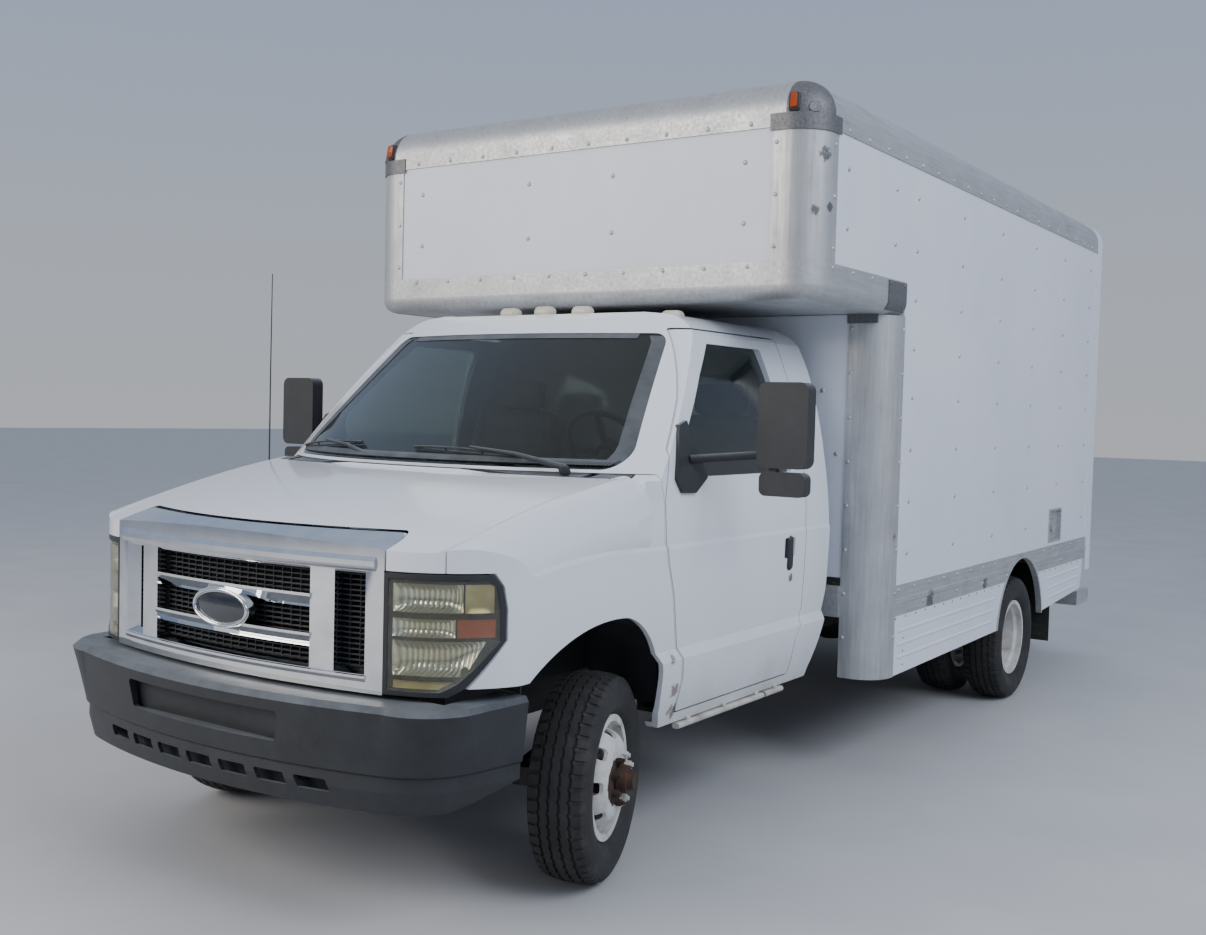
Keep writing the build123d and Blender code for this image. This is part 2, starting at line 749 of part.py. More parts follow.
def lug_nuts(x):
    """Eight wheel nuts on their studs, standing on the disc's face at x."""
    nut = extrude(Plane.YZ * RegularPolygon(14, 6), amount=22)
    stud = Pos(15, 0, 0) * Rot(0, 90, 0) * Cylinder(8, 30)
    seat = Pos(2, 0, 0) * Rot(0, 90, 0) * Cylinder(17, 4)
    placed = Pos(x, 0, 82.5) * (nut + stud + seat)
    return [Rot(a + 22.5, 0, 0) * placed for a in range(0, 360, 45)]


def front_rim_shape():
    """Front wheel and hub, disc dished outward, with its grease cap."""
    hub = Pos(wheel_offset - 40, 0, 0) * Rot(0, 90, 0) * Cylinder(60, 100)
    collar = Pos(wheel_offset + 18, 0, 0) * Rot(0, 90, 0) * Cone(54, 47, 36)
    cap = Pos(wheel_offset + 45, 0, 0) * Rot(0, 90, 0) * Cone(40, 31, 26)
    spindle_room = Pos(-49, 0, 0) * Rot(0, 90, 0) * Cylinder(spindle_radius + running_gap, 302)
    middle = (hub + collar + cap) - spindle_room
    return Part() + [wheel_barrel(), wheel_disc(wheel_offset)] + lug_nuts(wheel_offset) + [middle]


def rear_rim_shape():
    """Dual rear wheels back to back, with the hub through them."""
    outer = Pos(rear_outer_tyre_x, rear_axle_y, tyre_radius)
    inner = Pos(rear_inner_tyre_x, rear_axle_y, tyre_radius)
    half_space = (rear_outer_tyre_x - rear_inner_tyre_x) / 2
    disc = wheel_disc(half_space)
    x_mid = rear_inner_tyre_x + half_space
    pieces = [outer * wheel_barrel(), outer * mirror(disc, about=Plane.YZ)]
    pieces += [inner * wheel_barrel(), inner * disc]
    hub = rod((870, rear_axle_y, tyre_radius), (x_mid + 96, rear_axle_y, tyre_radius), 62)
    hub = hub + rod((x_mid + 90, rear_axle_y, tyre_radius), (x_mid + 112, rear_axle_y, tyre_radius), 74)
    room = rod((800, rear_axle_y, tyre_radius), (992, rear_axle_y, tyre_radius), 30 + running_gap)
    nuts = [Pos(x_mid, rear_axle_y, tyre_radius) * nut for nut in lug_nuts(8)]
    return (Part() + pieces + nuts + [hub]) - room


def steered(shape, side):
    """Turns a front piece about its kingpin to where it stands."""
    turned = Rot(0, 0, steer_at_rest) * Pos(-side * kingpin_x, 0, 0) * shape
    return Pos(side * kingpin_x, front_axle_y, 0) * turned


# Front end

bumper_levels = (
    # z, centre y, end of the front curve (x, y), middle and end of the corner curve (x, y), rear x
    (bumper_top_z, -998, (738, -899), (893, -834), (946, -745), 968),
    (bumper_top_z - 18, -front_reach, (748, -917), (910, -848), (960, -755), 980),
    (532, -1003, (736, -900), (872, -806), (930, -680), 960),
    (522, -992, (730, -890), (864, -798), (920, -676), 951),
    (478, -996, (728, -892), (864, -800), (920, -676), 950),
    (bumper_bottom_z, -982, (706, -886), (846, -790), (906, -660), 938),
)


def bumper_form(inset):
    """Bumper's outer form, made smaller by inset at its front, ends and top."""
    s = inset
    sections = []
    for z, centre, front, corner, side, rear_x in bumper_levels:
        x1, y1 = front[0] - 0.3 * s, front[1] + s
        x2, y2 = corner[0] - 0.7 * s, corner[1] + 0.7 * s
        x3, y3 = side[0] - s, side[1] + 0.3 * s
        x4, y4 = rear_x - s, bumper_rear_y + s
        level = min(z, bumper_top_z - s) - (s if z == bumper_bottom_z else 0)
        if s and z == bumper_top_z - 18:
            continue
        sections.append(make_face([
            ThreePointArc((-x1, y1, level), (0, centre + s, level), (x1, y1, level)),
            ThreePointArc((x1, y1, level), (x2, y2, level), (x3, y3, level)),
            Line((x3, y3, level), (x4, y4, level)),
            Line((x4, y4, level), (-x4, y4, level)),
            Line((-x4, y4, level), (-x3, y3, level)),
            ThreePointArc((-x3, y3, level), (-x2, y2, level), (-x1, y1, level)),
        ]))
    return loft(sections, ruled=True)


def front_bumper():
    """Moulded bumper shell with its air slot, slanted vents and two brackets to the frame."""
    outer = bumper_form(0)
    ends = across([(-760, 300), (-760, bumper_bottom_z), (-480, 476), (-480, 300)], -1100, 1100)
    shell = outer - bumper_form(bumper_wall) - ends
    shell = shell - block(-930, 930, -520, -480, 300, 800) - block(-860, 860, -760, -480, 700, 800)
    slot = along([(-352, 592), (360, 592), (376, 690), (-376, 690)], -1200, -900, radius=14)
    vents = [
        along([(x - 62, 494), (x + 58, 494), (x + 76, 456), (x - 44, 456)], -1200, -860, radius=5)
        for x in (-480, -320, -160, 0, 160, 320, 480)
    ]
    shell = shell - slot - vents
    back = slot_tray()
    horn = block(372, 428, -1030, frame_front_y - seat_gap, 500, 560) & bumper_form(4)
    return Part() + [shell, back, horn, other_side(horn)]


def slot_tray():
    """Tray closing the air slot at the back, with its forward lower lip."""
    tray = block(-396, 396, -978, -948, 576, 706) - block(-384, 384, -1000, -954, 588, 694)
    return tray & bumper_form(6)


# Grille, carried round the nose's curve

nose_radius = (690 ** 2 + (nose_corner_y - nose_centre_y) ** 2) / (2 * (nose_corner_y - nose_centre_y))
nose_axis_y = nose_centre_y + nose_radius


def round_nose(profile, half_width):
    """Cross section of (y, z) points on the middle plane, carried round the nose's curve."""
    face = make_face(Polyline(*[(0, y, z) for y, z in profile], close=True))
    angle = math.degrees(math.asin(half_width / nose_radius))
    swept = revolve(face, axis=Axis((0, nose_axis_y, 0), (0, 0, 1)), revolution_arc=2 * angle)
    return Pos(0, nose_axis_y, 0) * Rot(0, 0, -angle) * Pos(0, -nose_axis_y, 0) * swept


def oval(half_width, half_height, z, y0, y1):
    plane = Plane(origin=(0, y0, z), x_dir=(1, 0, 0), z_dir=(0, 1, 0))
    return extrude(plane * Ellipse(half_width, half_height), amount=y1 - y0)


def grille():
    """Header, surround, two posts, three lipped bars and a blank oval plate."""
    y = nose_centre_y
    half = grille_half_width - 1
    header = (nose_form(0) - nose_form(30)) & header_zone(0) & block(-800, 800, -1000, -700, 1141, 1260)
    lip = round_nose([(y, 1182), (y - 10, 1168), (y - 10, 1152), (y + 6, 1128), (y + 34, 1128), (y + 34, 1182)], 636)
    frame = round_nose([(y, 1150), (y, 755), (y + 40, 755), (y + 40, 1150)], half)
    bevel = upward([
        (-612, -1000), (-606, -846), (-563, -800), (-563, -700), (563, -700), (563, -800), (606, -846), (612, -1000),
    ], 812, 1135)
    frame = frame - bevel
    sill = round_nose([(y - 5, 808), (y - 5, 800), (y + 12, 762), (y + 40, 762), (y + 40, 826), (y + 30, 826)], 604)
    post = round_nose([(y + 2, 1145), (y + 2, 800), (y + 38, 800), (y + 38, 1145)], 483)
    post = post & (block(386, 483, -1000, -700, 700, 1200) + block(-483, -386, -1000, -700, 700, 1200))
    bars = [
        round_nose([(y - 5, z), (y - 5, z - 9), (y + 20, z - 47), (y + 38, z - 47), (y + 38, z)], 390)
        for z in (1048, 922)
    ]
    plate = round_nose([(y - 16, 890), (y - 16, 1040), (y + 10, 1040), (y + 10, 890)], 160) & oval(142, 67, 966, -1000, -800)
    dish = round_nose([(y - 30, 890), (y - 30, 1040), (y - 11, 1040), (y - 11, 890)], 160) & oval(124, 51, 966, -1000, -800)
    web = round_nose([(y + 8, 880), (y + 8, 1046), (y + 34, 1046), (y + 34, 880)], 60)
    return Part() + [header, lip, frame, sill, post] + bars + [plate - dish, web]


lamp_inner_x = grille_half_width - 1 + seat_gap


def lamp_zone(shrink):
    """Headlamp region between the grille and the fender, its outline made smaller by shrink."""
    return lamp_side(-shrink) & block(lamp_inner_x + shrink, 1100, -1000, -500, 700, 1200)


def headlamps():
    """Black housings, each with a pocket for the reflectors."""
    body = (nose_form(0) - nose_form(110)) & lamp_zone(0)
    pocket = nose_form(-20) - nose_form(70)
    return both_sides(body - (pocket & lamp_zone(15)))


def headlamp_lenses():
    """Clear covers let into the front of the housings."""
    return both_sides((nose_form(3) - nose_form(8)) & lamp_zone(15 + seat_gap))


# Cab interior

def cab_floor():
    """Floor with a step well at each door, and the firewall in front."""
    points = [
        (-905, 504), (-905, 522), (-812, 522), (-812, cab_floor_z), (812, cab_floor_z), (812, 522),
        (905, 522), (905, 504), (794, 504), (794, cab_floor_z - 20), (-794, cab_floor_z - 20), (-794, 504),
    ]
    wells = along(points, 430, 1400)
    rear = block(-930, 930, 1400, 1560, cab_floor_z - 20, cab_floor_z)
    toe_board = across([
        (430, cab_floor_z - 20), (430, cab_floor_z), (firewall_y + 20, 850), (firewall_y + 20, 1340),
        (firewall_y, 1340), (firewall_y, 842), (420, cab_floor_z - 20),
    ], -firewall_half_width, firewall_half_width)
    cover_side = [(300, cab_floor_z - 20), (300, 1120), (700, 1080), (980, 960), (1010, cab_floor_z - 20)]
    room_side = [(200, cab_floor_z - 30), (200, 1100), (692, 1061), (966, 946), (990, cab_floor_z - 30)]
    cover = across(cover_side, -300, 300)
    room = across(room_side, -282, 282)
    pucks = [
        Pos(x, y, (frame_top_z + seat_gap + cab_floor_z - 18) / 2) * Cylinder(34, cab_floor_z - 18 - frame_top_z - seat_gap)
        for x in (-396, 396) for y in (520, 1480)
    ]
    return (Part() + [wells, rear, toe_board, cover] + pucks) - room


wheel_place = Pos(450, 700, 1480) * Rot(-58, 0, 0)


def dashboard():
    points = [(316.3, 1150), (316.3, 1350), (400, 1372), (520, 1362), (600, 1290), (560, 1010), (420, 1000)]
    body = across(points, -900, 900, radius=12) - block(-305, 305, 150, 700, 900, 1125)
    column_room = wheel_place * Pos(0, 0, -160) * Cylinder(28 + seat_gap, 500)
    return body - column_room


def seats():
    """Driver's seat and passenger bench, each base, cushion, back and head rest in one."""
    base = [(900, cab_floor_z), (880, 890), (1380, 890), (1400, cab_floor_z)]
    cushion = [(842, 900), (846, 1040), (1300, 1010), (1400, 1010), (1400, 880), (880, 880)]
    back = [(1250, 960), (1345, 1640), (1380, 1668), (1440, 1660), (1470, 1400), (1410, 920)]
    half = seat_width / 2
    shapes = []
    for middle, half_rest in ((driver_x, 130), (-driver_x, 130)):
        x0, x1 = middle - half, middle + half
        rest = across([(1372, 1640), (1378, 1790), (1460, 1790), (1454, 1640)], middle - half_rest, middle + half_rest, 24)
        shapes.append(Part() + [
            across(base, x0 + 40, x1 - 40), across(cushion, x0, x1, 34), across(back, x0 + 12, x1 - 12, 26), rest,
        ])
    return group(shapes)


def steering_wheel():
    """Rim, spokes and column in one, tilted back."""
    ring = Torus(190, 14)
    hub = Cylinder(50, 50)
    spokes = Part() + [Rot(0, 0, a) * Pos(95, 0, 0) * Box(190, 30, 14) for a in (0, 180, 270)]
    column = Pos(0, 0, -160) * Cylinder(28, 300)
    wheel = Part() + [ring, hub, spokes, column]
    return wheel_place * wheel


# Under the truck

def engine_block():
    engine = block(-255, 255, -560, 240, 430, 1040)
    gearbox = block(-140, 140, 240, 1150, 440, 628)
    mount = block(200, frame_half_width - frame_rail_wall - seat_gap, -160, -80, 540, 600)
    return Part() + [engine, gearbox, mount, other_side(mount)]


def front_axle():
    """Twin beams, each with its eye at the kingpin, radius arms and springs."""
    half = [(-260, -60), (640, -60), (748, -26), (748, 26), (640, -14), (-260, -14)]
    beam = upward(half, 305, 372)
    eye = Pos(kingpin_x, 0, tyre_radius) * Cylinder(32, 120)
    eye = eye - Pos(kingpin_x, 0, tyre_radius) * Cylinder(14 + running_gap, 400)
    arm = rod((600, -40, 338), (400, 900, frame_top_z - frame_rail_height - 24 - seat_gap), 24)
    left = Part() + [beam, eye, arm]
    spring = Pos(560, -38, (372 + 655) / 2) * Cylinder(55, 655 - 372)
    seat = block(370, 625, -95, 20, frame_top_z + seat_gap, 655)
    left = left + spring + seat
    hanger = block(-360, -262, -70, -14, 330, frame_top_z - frame_rail_height - seat_gap)
    left = left + hanger
    return Pos(0, front_axle_y, 0) * (left + other_side(left))


def knuckle(side):
    """Steering knuckle with kingpin, spindle and arm, drawn straight ahead."""
    z = tyre_radius
    upper = block(kingpin_x - 30, kingpin_x + 62, -30, 30, z + 62, z + 92)
    lower = block(kingpin_x - 30, kingpin_x + 62, -30, 30, z - 92, z - 62)
    web = block(kingpin_x + 38, kingpin_x + 62, -34, 34, z - 92, z + 92)
    pin = Pos(kingpin_x, 0, z) * Cylinder(14, 184)
    spindle = rod((kingpin_x + 50, 0, z), (front_tyre_x + 100, 0, z), spindle_radius)
    arm = block(kingpin_x + 38, kingpin_x + 58, 30, 150, z - 70, z - 48)
    body = Part() + [upper, lower, web, pin, spindle, arm]
    return steered(body if side > 0 else other_side(body), side)


def rear_axle():
    """Axle tube with its banjo housing, stub axles, and the propeller shaft."""
    edges = [
        Line((-990, 0, 0), (-990, 0, 30)),
        Line((-990, 0, 30), (-845, 0, 30)),
        Line((-845, 0, 30), (-845, 0, 48)),
        Line((-845, 0, 48), (-210, 0, 48)),
        Line((-210, 0, 48), (-150, 0, 90)),
        ThreePointArc((-150, 0, 90), (0, 0, 152), (150, 0, 90)),
        Line((150, 0, 90), (210, 0, 48)),
        Line((210, 0, 48), (845, 0, 48)),
        Line((845, 0, 48), (845, 0, 30)),
        Line((845, 0, 30), (990, 0, 30)),
        Line((990, 0, 30), (990, 0, 0)),
        Line((990, 0, 0), (-990, 0, 0)),
    ]
    axle = Pos(0, rear_axle_y, tyre_radius) * revolve(make_face(edges), axis=Axis.X)
    shaft = rod((0, 1155, 500), (0, rear_axle_y - 120, 380), 38)
    plates = [block(x - 40, x + 40, rear_axle_y - 60, rear_axle_y + 60, 405, 432) for x in (-510, 510)]
    return Part() + [axle, shaft] + plates


def leaf_springs():
    """Bowed leaf packs with their hangers, beside the frame rails."""
    x0 = spring_x - spring_width / 2
    x1 = spring_x + spring_width / 2
    front_y = rear_axle_y - spring_reach
    rear_y = rear_axle_y + spring_reach
    edges = [
        ThreePointArc((x0, front_y, 530), (x0, rear_axle_y, 478), (x0, rear_y, 530)),
        Line((x0, rear_y, 530), (x0, rear_y, 515)),
        ThreePointArc((x0, rear_y, 515), (x0, rear_axle_y, 432 + seat_gap), (x0, front_y, 515)),
        Line((x0, front_y, 515), (x0, front_y, 530)),
    ]
    leaf = extrude(make_face(edges), amount=spring_width, dir=(1, 0, 0))
    hangers = [block(frame_half_width + seat_gap, x1, y - 30, y + 30, 500, 600) for y in (front_y, rear_y)]
    return both_sides(Part() + [leaf] + hangers)


def exhaust():
    pipe = rod((-250, 400, 410), (-250, 1810, 410), 30)
    muffler = Pos(-250, 2150, 410) * Rot(90, 0, 0) * Cylinder(88, 700)
    tail = rod((-250, 2490, 410), (-250, 3050, 410), 30)
    outlet = rod((-250, 3030, 410), (-1120, 3330, 400), 30)
    top = frame_top_z - frame_rail_height - seat_gap
    hangers = [block(-400, -238, y - 10, y + 10, top - 12, top) for y in (700, 1700, 2700)]
    hangers += [block(-262, -238, y - 10, y + 10, 420, top) for y in (700, 1700, 2700)]
    return Part() + [pipe, muffler, tail, outlet] + hangers


def fuel_tank():
    tank = across([(4520, 350), (4520, 590), (5340, 590), (5340, 350)], -330, 330, radius=60)
    lug_z = frame_top_z - frame_rail_height - seat_gap
    strap = [
        (-400, lug_z), (-400, lug_z - 6), (-336, lug_z - 6), (-336, 344), (336, 344), (336, lug_z - 6),
        (400, lug_z - 6), (400, lug_z), (329, lug_z), (329, 351), (-329, 351), (-329, lug_z),
    ]
    return Part() + [tank] + [along(strap, y - 20, y + 20) for y in (4700, 5160)]


def mud_flaps():
    top = deck_z - deck_thickness - bearer_height - 2 * seat_gap
    return both_sides(block(690, 1178, flap_y, flap_y + 8, flap_bottom_z, top))


# Cargo box details

def rub_rails():
    """Rails along the deck's edge, cut round the rear wheel arches."""
    x = box_half_width
    side = along([
        (x - 34, rub_rail_bottom_z), (x - 5, rub_rail_bottom_z), (x - 5, 778), (x, 784), (x, 802), (x - 5, 808),
        (x - 5, rub_rail_top_z), (x - 34, rub_rail_top_z),
    ], box_front_y + column_on_side + seat_gap, box_end_y - rear_post_width - seat_gap)
    trim = Pos(box_half_width - 34, arch_y, arch_z) * Rot(0, 90, 0) * Cylinder(
        arch_radius + 14, 34, align=(Align.CENTER, Align.CENTER, Align.MIN)
    )
    trim = trim & block(0, 1300, 3000, 5000, skirt_bottom_z, 1000)
    hole = Pos(0, arch_y, arch_z) * Rot(0, 90, 0) * Cylinder(arch_radius, 3000)
    left = (side + trim) - hole
    front = block(
        -box_half_width + column_on_front + seat_gap, box_half_width - column_on_front - seat_gap,
        box_front_y - 14, box_front_y + rail_proud - seat_gap,
        rub_rail_bottom_z, rub_rail_top_z,
    )
    return group([left, other_side(left), front])


def skirts():
    front = box_front_y + column_on_side + seat_gap
    top = rub_rail_bottom_z - seat_gap
    points = [(front, column_bottom_z), (3585, 462), (4461, 475), (5344, 525), (5400, top), (front, top)]
    panel = across(points, box_half_width - rail_proud - skirt_wall, box_half_width - rail_proud)
    hole = Pos(0, arch_y, arch_z) * Rot(0, 90, 0) * Cylinder(arch_radius + 14 + seat_gap, 3000)
    face_x = box_half_width - rail_proud
    ribs = [
        rod((face_x - 6, y0, z0), (face_x - 6, y1, z1), 11) for y0, y1, z0, z1 in (
            # front end, rear end, z at the front, z at the rear
            (2025, 3475, 652, 652), (2025, 3445, 589, 589), (2025, 3430, 527, 527),
            (4520, 5288, 662, 673), (4545, 5284, 599, 616), (4560, 5215, 538, 558),
        )
    ]
    return both_sides((panel - hole) + ribs)


def rear_frame():
    """Rear portal: posts, header and sill round the door opening."""
    outer = along([
        (-box_half_width, rear_sill_z), (box_half_width, rear_sill_z), (box_half_width, box_roof_z),
        (-box_half_width, box_roof_z),
    ], box_end_y - rear_post_width, box_end_y, radius=corner_radius - 10)
    outer = outer + block(
        -box_half_width, box_half_width, box_end_y - rear_post_width, box_end_y, rear_sill_z, 1200
    )
    hole = block(
        -rear_opening_half_width, rear_opening_half_width, box_front_y, box_end_y + 10, deck_z, rear_opening_top_z
    )
    return outer - hole


def roll_up_door():
    """Closed rolling door of flat slats between the rear posts."""
    gap = seat_gap
    y0 = box_end_y - 80
    y1 = box_end_y - 50
    body = block(
        -rear_opening_half_width + gap, rear_opening_half_width - gap, y0, y1, deck_z + gap, rear_opening_top_z - gap
    )
    rows = 5
    pitch = (rear_opening_top_z - deck_z) / rows
    for i in range(1, rows):
        z = deck_z + pitch * i
        body = body - block(-2000, 2000, y1 - 6, y1 + 1, z - 4, z + 4)
    handle = block(-90, 90, y1, y1 + 25, deck_z + 80, deck_z + 110)
    return body + handle


def rear_bumper():
    step = block(-1160, 1160, 5500, rear_reach, 380, 478)
    hollow = block(-1100, 1100, 5540, rear_reach - 40, 379, 440)
    brackets = [
        block(min(s * 360, s * frame_half_width), max(s * 360, s * frame_half_width), frame_rear_y + seat_gap, 5560,
              400, rear_sill_z) for s in (-1, 1)
    ]
    hitch = block(-60, 60, 5560, rear_reach - 40, 440, 478)
    ball_hole = Pos(0, hitch_y, 460) * Cylinder(hitch_hole_radius, 100)
    return (Part() + [step - hollow] + brackets + [hitch]) - ball_hole


def marker_lamps():
    """Five domed lamps along the cab roof's front edge."""
    seat = cab_form(-seat_gap)
    lamps = []
    for x, y, z in ((0, 835, 2076), (198, 843, 2073), (-198, 843, 2073), (616, 905, 2050), (-616, 905, 2050)):
        dome = fillet(Box(96, 66, 52).edges(), 24)
        lamps.append(Pos(x, y, z) * dome)
    return group([lamp - seat for lamp in lamps])


def rear_lamps():
    y = box_end_y
    lamps = []
    for x in (-1150, 1150):
        for z in (980, 1090):
            lamps.append(Pos(x, y + 8, z) * Rot(90, 0, 0) * Cylinder(50, 16))
    for x in (-1150, -150, 0, 150, 1150):
        lamps.append(Pos(x, y + 6, 2880) * Box(60, 12, 26))
    return group(lamps)


def ramp():
    return block(-370, 370, 3300, box_end_y - rear_post_width - 5, frame_top_z + seat_gap, frame_top_z + 60)


def fuel_filler():
    """Tray let into the driver's side wall, with the filler cap in it."""
    x = box_half_width - rail_proud - filler_depth + seat_gap
    middle_z = (filler_z0 + filler_z1) / 2
    tray = block(x, box_half_width, filler_y0 + 1, filler_y1 - 1, filler_z0 + 1, filler_z1 - 1)
    room = block(x + 3, box_half_width + 1, filler_y0 + 12, filler_y1 - 12, filler_z0 + 12, filler_z1 - 12)
    cap = Pos(x + 11, (filler_y0 + filler_y1) / 2, middle_z) * Rot(0, 90, 0) * Cylinder(42, 18)
    return (tray - room) + cap


def mirror_left():
    """Black sail on the door, two arms and the two mirror heads."""
    sail = (cab_form(-14) - cab_form(-0.6)) & offset_prism(
        [(436, 1604), (420, 1570), (362, 1404), (396, 1352), (490, 1349), (590, 1405), (507, 1560), (497, 1622)],
        0, 600, 1200, radius=4,
    )
    head = block(1195, 1400, 585, 650, 1452, 1772)
    head = fillet(head.edges().filter_by(Axis.Y), 34)
    low = block(1205, 1392, 590, 645, 1348, 1438)
    low = fillet(low.edges().filter_by(Axis.Y), 26)
    post = block(1240, 1270, 600, 630, 1430, 1460)
    arm = rod((974, 478, 1475), (1215, 615, 1500), 17)
    return Part() + [sail, head, low, post, arm]


for name, shape in (
    ("cab_shell", cab_shell()),
    ("hood", hood()),
    ("fenders", fenders()),
    ("cowl_panel", cowl_panel()),
    ("wheel_liners", wheel_liners()),
    ("windshield", windshield()),
    ("front_bumper", front_bumper()),
    ("grille", grille()),
    ("headlamps", headlamps()),
    ("headlamp_lenses", headlamp_lenses()),
    ("cab_floor", cab_floor()),
    ("dashboard", dashboard()),
    ("seats", seats()),
    ("steering_wheel", steering_wheel()),
    ("engine_block", engine_block()),
    ("front_axle", front_axle()),
    ("rear_axle", rear_axle()),
    ("leaf_springs", leaf_springs()),
    ("exhaust", exhaust()),
    ("fuel_tank", fuel_tank()),
    ("mud_flaps", mud_flaps()),
    ("box_side_walls", box_side_walls()),
    ("box_front_walls", box_front_walls()),
    ("attic_posts", attic_posts()),
    ("corner_castings", corner_castings()),
    ("front_columns", front_columns()),
    ("attic_rails", attic_rails()),
    ("top_rails", top_rails()),
    ("box_roof", box_roof()),
    ("box_deck", box_deck()),
    ("attic_floor", attic_floor()),
    ("box_bearers", box_bearers()),
    ("frame_rails", frame_rails()),
    ("rub_rails", rub_rails()),
    ("skirts", skirts()),
    ("rear_frame", rear_frame()),
    ("roll_up_door", roll_up_door()),
    ("rear_bumper", rear_bumper()),
    ("marker_lamps", marker_lamps()),
    ("rear_lamps", rear_lamps()),
    ("ramp", ramp()),
    ("fuel_filler", fuel_filler()),
):
    save(name, shape)

left_door = door()
left_glass = door_glass()
left_mirror = mirror_left()
for name, shape in (("door", left_door), ("door_glass", left_glass), ("mirror", left_mirror)):
    save(f"{name}_left", shape)
    save(f"{name}_right", other_side(shape))

front_tyre = Pos(front_tyre_x, 0, tyre_radius) * tyre()
front_rim = Pos(front_tyre_x, 0, tyre_radius) * front_rim_shape()
for name, side in (("left", 1), ("right", -1)):
    save(f"tyre_front_{name}", steered(front_tyre if side > 0 else other_side(front_tyre), side))
    save(f"rim_front_{name}", steered(front_rim if side > 0 else other_side(front_rim), side))
    save(f"knuckle_{name}", knuckle(side))

rear_tyres = group([Pos(x, rear_axle_y, tyre_radius) * tyre() for x in (rear_inner_tyre_x, rear_outer_tyre_x)])
rear_rims = rear_rim_shape()
save("tyres_rear_left", rear_tyres)
save("tyres_rear_right", other_side(rear_tyres))
save("rims_rear_left", rear_rims)
save("rims_rear_right", other_side(rear_rims))
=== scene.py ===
import json
import math

import bmesh
import bpy
from mathutils import Matrix, Vector


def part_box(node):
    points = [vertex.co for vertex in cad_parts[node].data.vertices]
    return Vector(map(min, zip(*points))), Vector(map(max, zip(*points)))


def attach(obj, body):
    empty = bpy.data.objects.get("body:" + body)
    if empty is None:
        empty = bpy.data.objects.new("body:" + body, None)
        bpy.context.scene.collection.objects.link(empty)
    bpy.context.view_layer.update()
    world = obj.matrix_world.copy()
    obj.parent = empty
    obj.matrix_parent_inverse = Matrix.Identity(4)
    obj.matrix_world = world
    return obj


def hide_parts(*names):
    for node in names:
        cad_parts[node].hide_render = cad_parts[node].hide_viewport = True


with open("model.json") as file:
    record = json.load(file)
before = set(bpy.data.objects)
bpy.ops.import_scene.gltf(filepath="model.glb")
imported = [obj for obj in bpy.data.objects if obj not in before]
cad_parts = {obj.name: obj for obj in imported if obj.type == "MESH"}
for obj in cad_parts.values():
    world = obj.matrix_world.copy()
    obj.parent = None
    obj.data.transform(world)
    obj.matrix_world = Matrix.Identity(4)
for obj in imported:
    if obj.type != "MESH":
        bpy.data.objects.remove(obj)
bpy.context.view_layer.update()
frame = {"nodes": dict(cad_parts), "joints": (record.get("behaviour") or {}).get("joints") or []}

# The camera stands at the driver's side front corner, a little above the mirrors, as a person
# taking the photograph does. Its place and lens were worked out from the wheelbase, the tyres
# and the box's straight edges.
lens = bpy.data.cameras.new("photo_camera")
lens.sensor_width = 36.0
lens.lens = 38.01
lens.clip_end = 200.0
camera = bpy.data.objects.new("photo_camera", lens)
bpy.context.scene.collection.objects.link(camera)
camera_place = (3.41395, -6.0512, 1.64717)
camera_right = Vector((0.82375337, 0.5663742, 0.02550775))
camera_up = Vector((-0.04592984, 0.02182323, 0.99870626))
camera_ahead = Vector((-0.5650848, 0.82385922, -0.04399044))
turn = Matrix((camera_right, camera_up, -camera_ahead)).transposed().to_4x4()
camera.matrix_world = Matrix.Translation(camera_place) @ turn
bpy.context.scene.camera = camera


# The studio: a wide pale floor, an even pale sky that is a little brighter overhead, and two
# large soft lamps, one ahead and to the left of the truck's nose, one over the driver's side.
def linear(hex_value):
    """An sRGB colour written as "#rrggbb", as the linear colour that Blender wants."""
    parts = [int(hex_value[i:i + 2], 16) / 255 for i in (1, 3, 5)]
    return tuple(c / 12.92 if c <= 0.04045 else ((c + 0.055) / 1.055) ** 2.4 for c in parts) + (1.0,)


def fill(node, inputs):
    """Fills a node's inputs with values, or links them to the sockets given."""
    for name, value in inputs.items():
        if isinstance(value, bpy.types.NodeSocket):
            node.id_data.links.new(value, node.inputs[name])
        else:
            node.inputs[name].default_value = value


def add(tree, kind, output, inputs=None, stops=(), **settings):
    """Adds a shader node with its settings, links and (place, "#rrggbb") stops; gives one output."""
    new = tree.nodes.new("ShaderNode" + kind)
    for name, value in settings.items():
        setattr(new, name, value)
    fill(new, inputs or {})
    if stops:
        elements = new.color_ramp.elements
        while len(elements) < len(stops):
            elements.new(0.5)
        for element, (where, colour) in zip(elements, stops):
            element.position = where
            element.color = linear(colour)
    return new.outputs[output]


def new_finish(name):
    """An empty material: itself, its node tree, its shader and the piece's own coordinates in m."""
    made = bpy.data.materials.new(name)
    made.use_nodes = True
    tree = made.node_tree
    return made, tree, tree.nodes["Principled BSDF"], add(tree, "TexCoord", "Object")


floor_reach = 60.0
floor_mesh = bpy.data.meshes.new("floor")
floor_corners = [(x * floor_reach, y * floor_reach, 0) for x, y in ((-1, -1), (1, -1), (1, 1), (-1, 1))]
floor_mesh.from_pydata(floor_corners, [], [(0, 1, 2, 3)])
floor = bpy.data.objects.new("floor", floor_mesh)
bpy.context.scene.collection.objects.link(floor)
floor_finish, tree, shader, place = new_finish("pale_studio_floor")
mottle = add(tree, "TexNoise", "Fac", {"Vector": place, "Scale": 1.5, "Detail": 6.0})
base = add(tree, "ValToRGB", "Color", {"Fac": mottle}, [(0.3, "#b9babc"), (0.7, "#c2c2c3")])
fill(shader, {"Base Color": base, "Roughness": 0.75})
floor_mesh.materials.append(floor_finish)

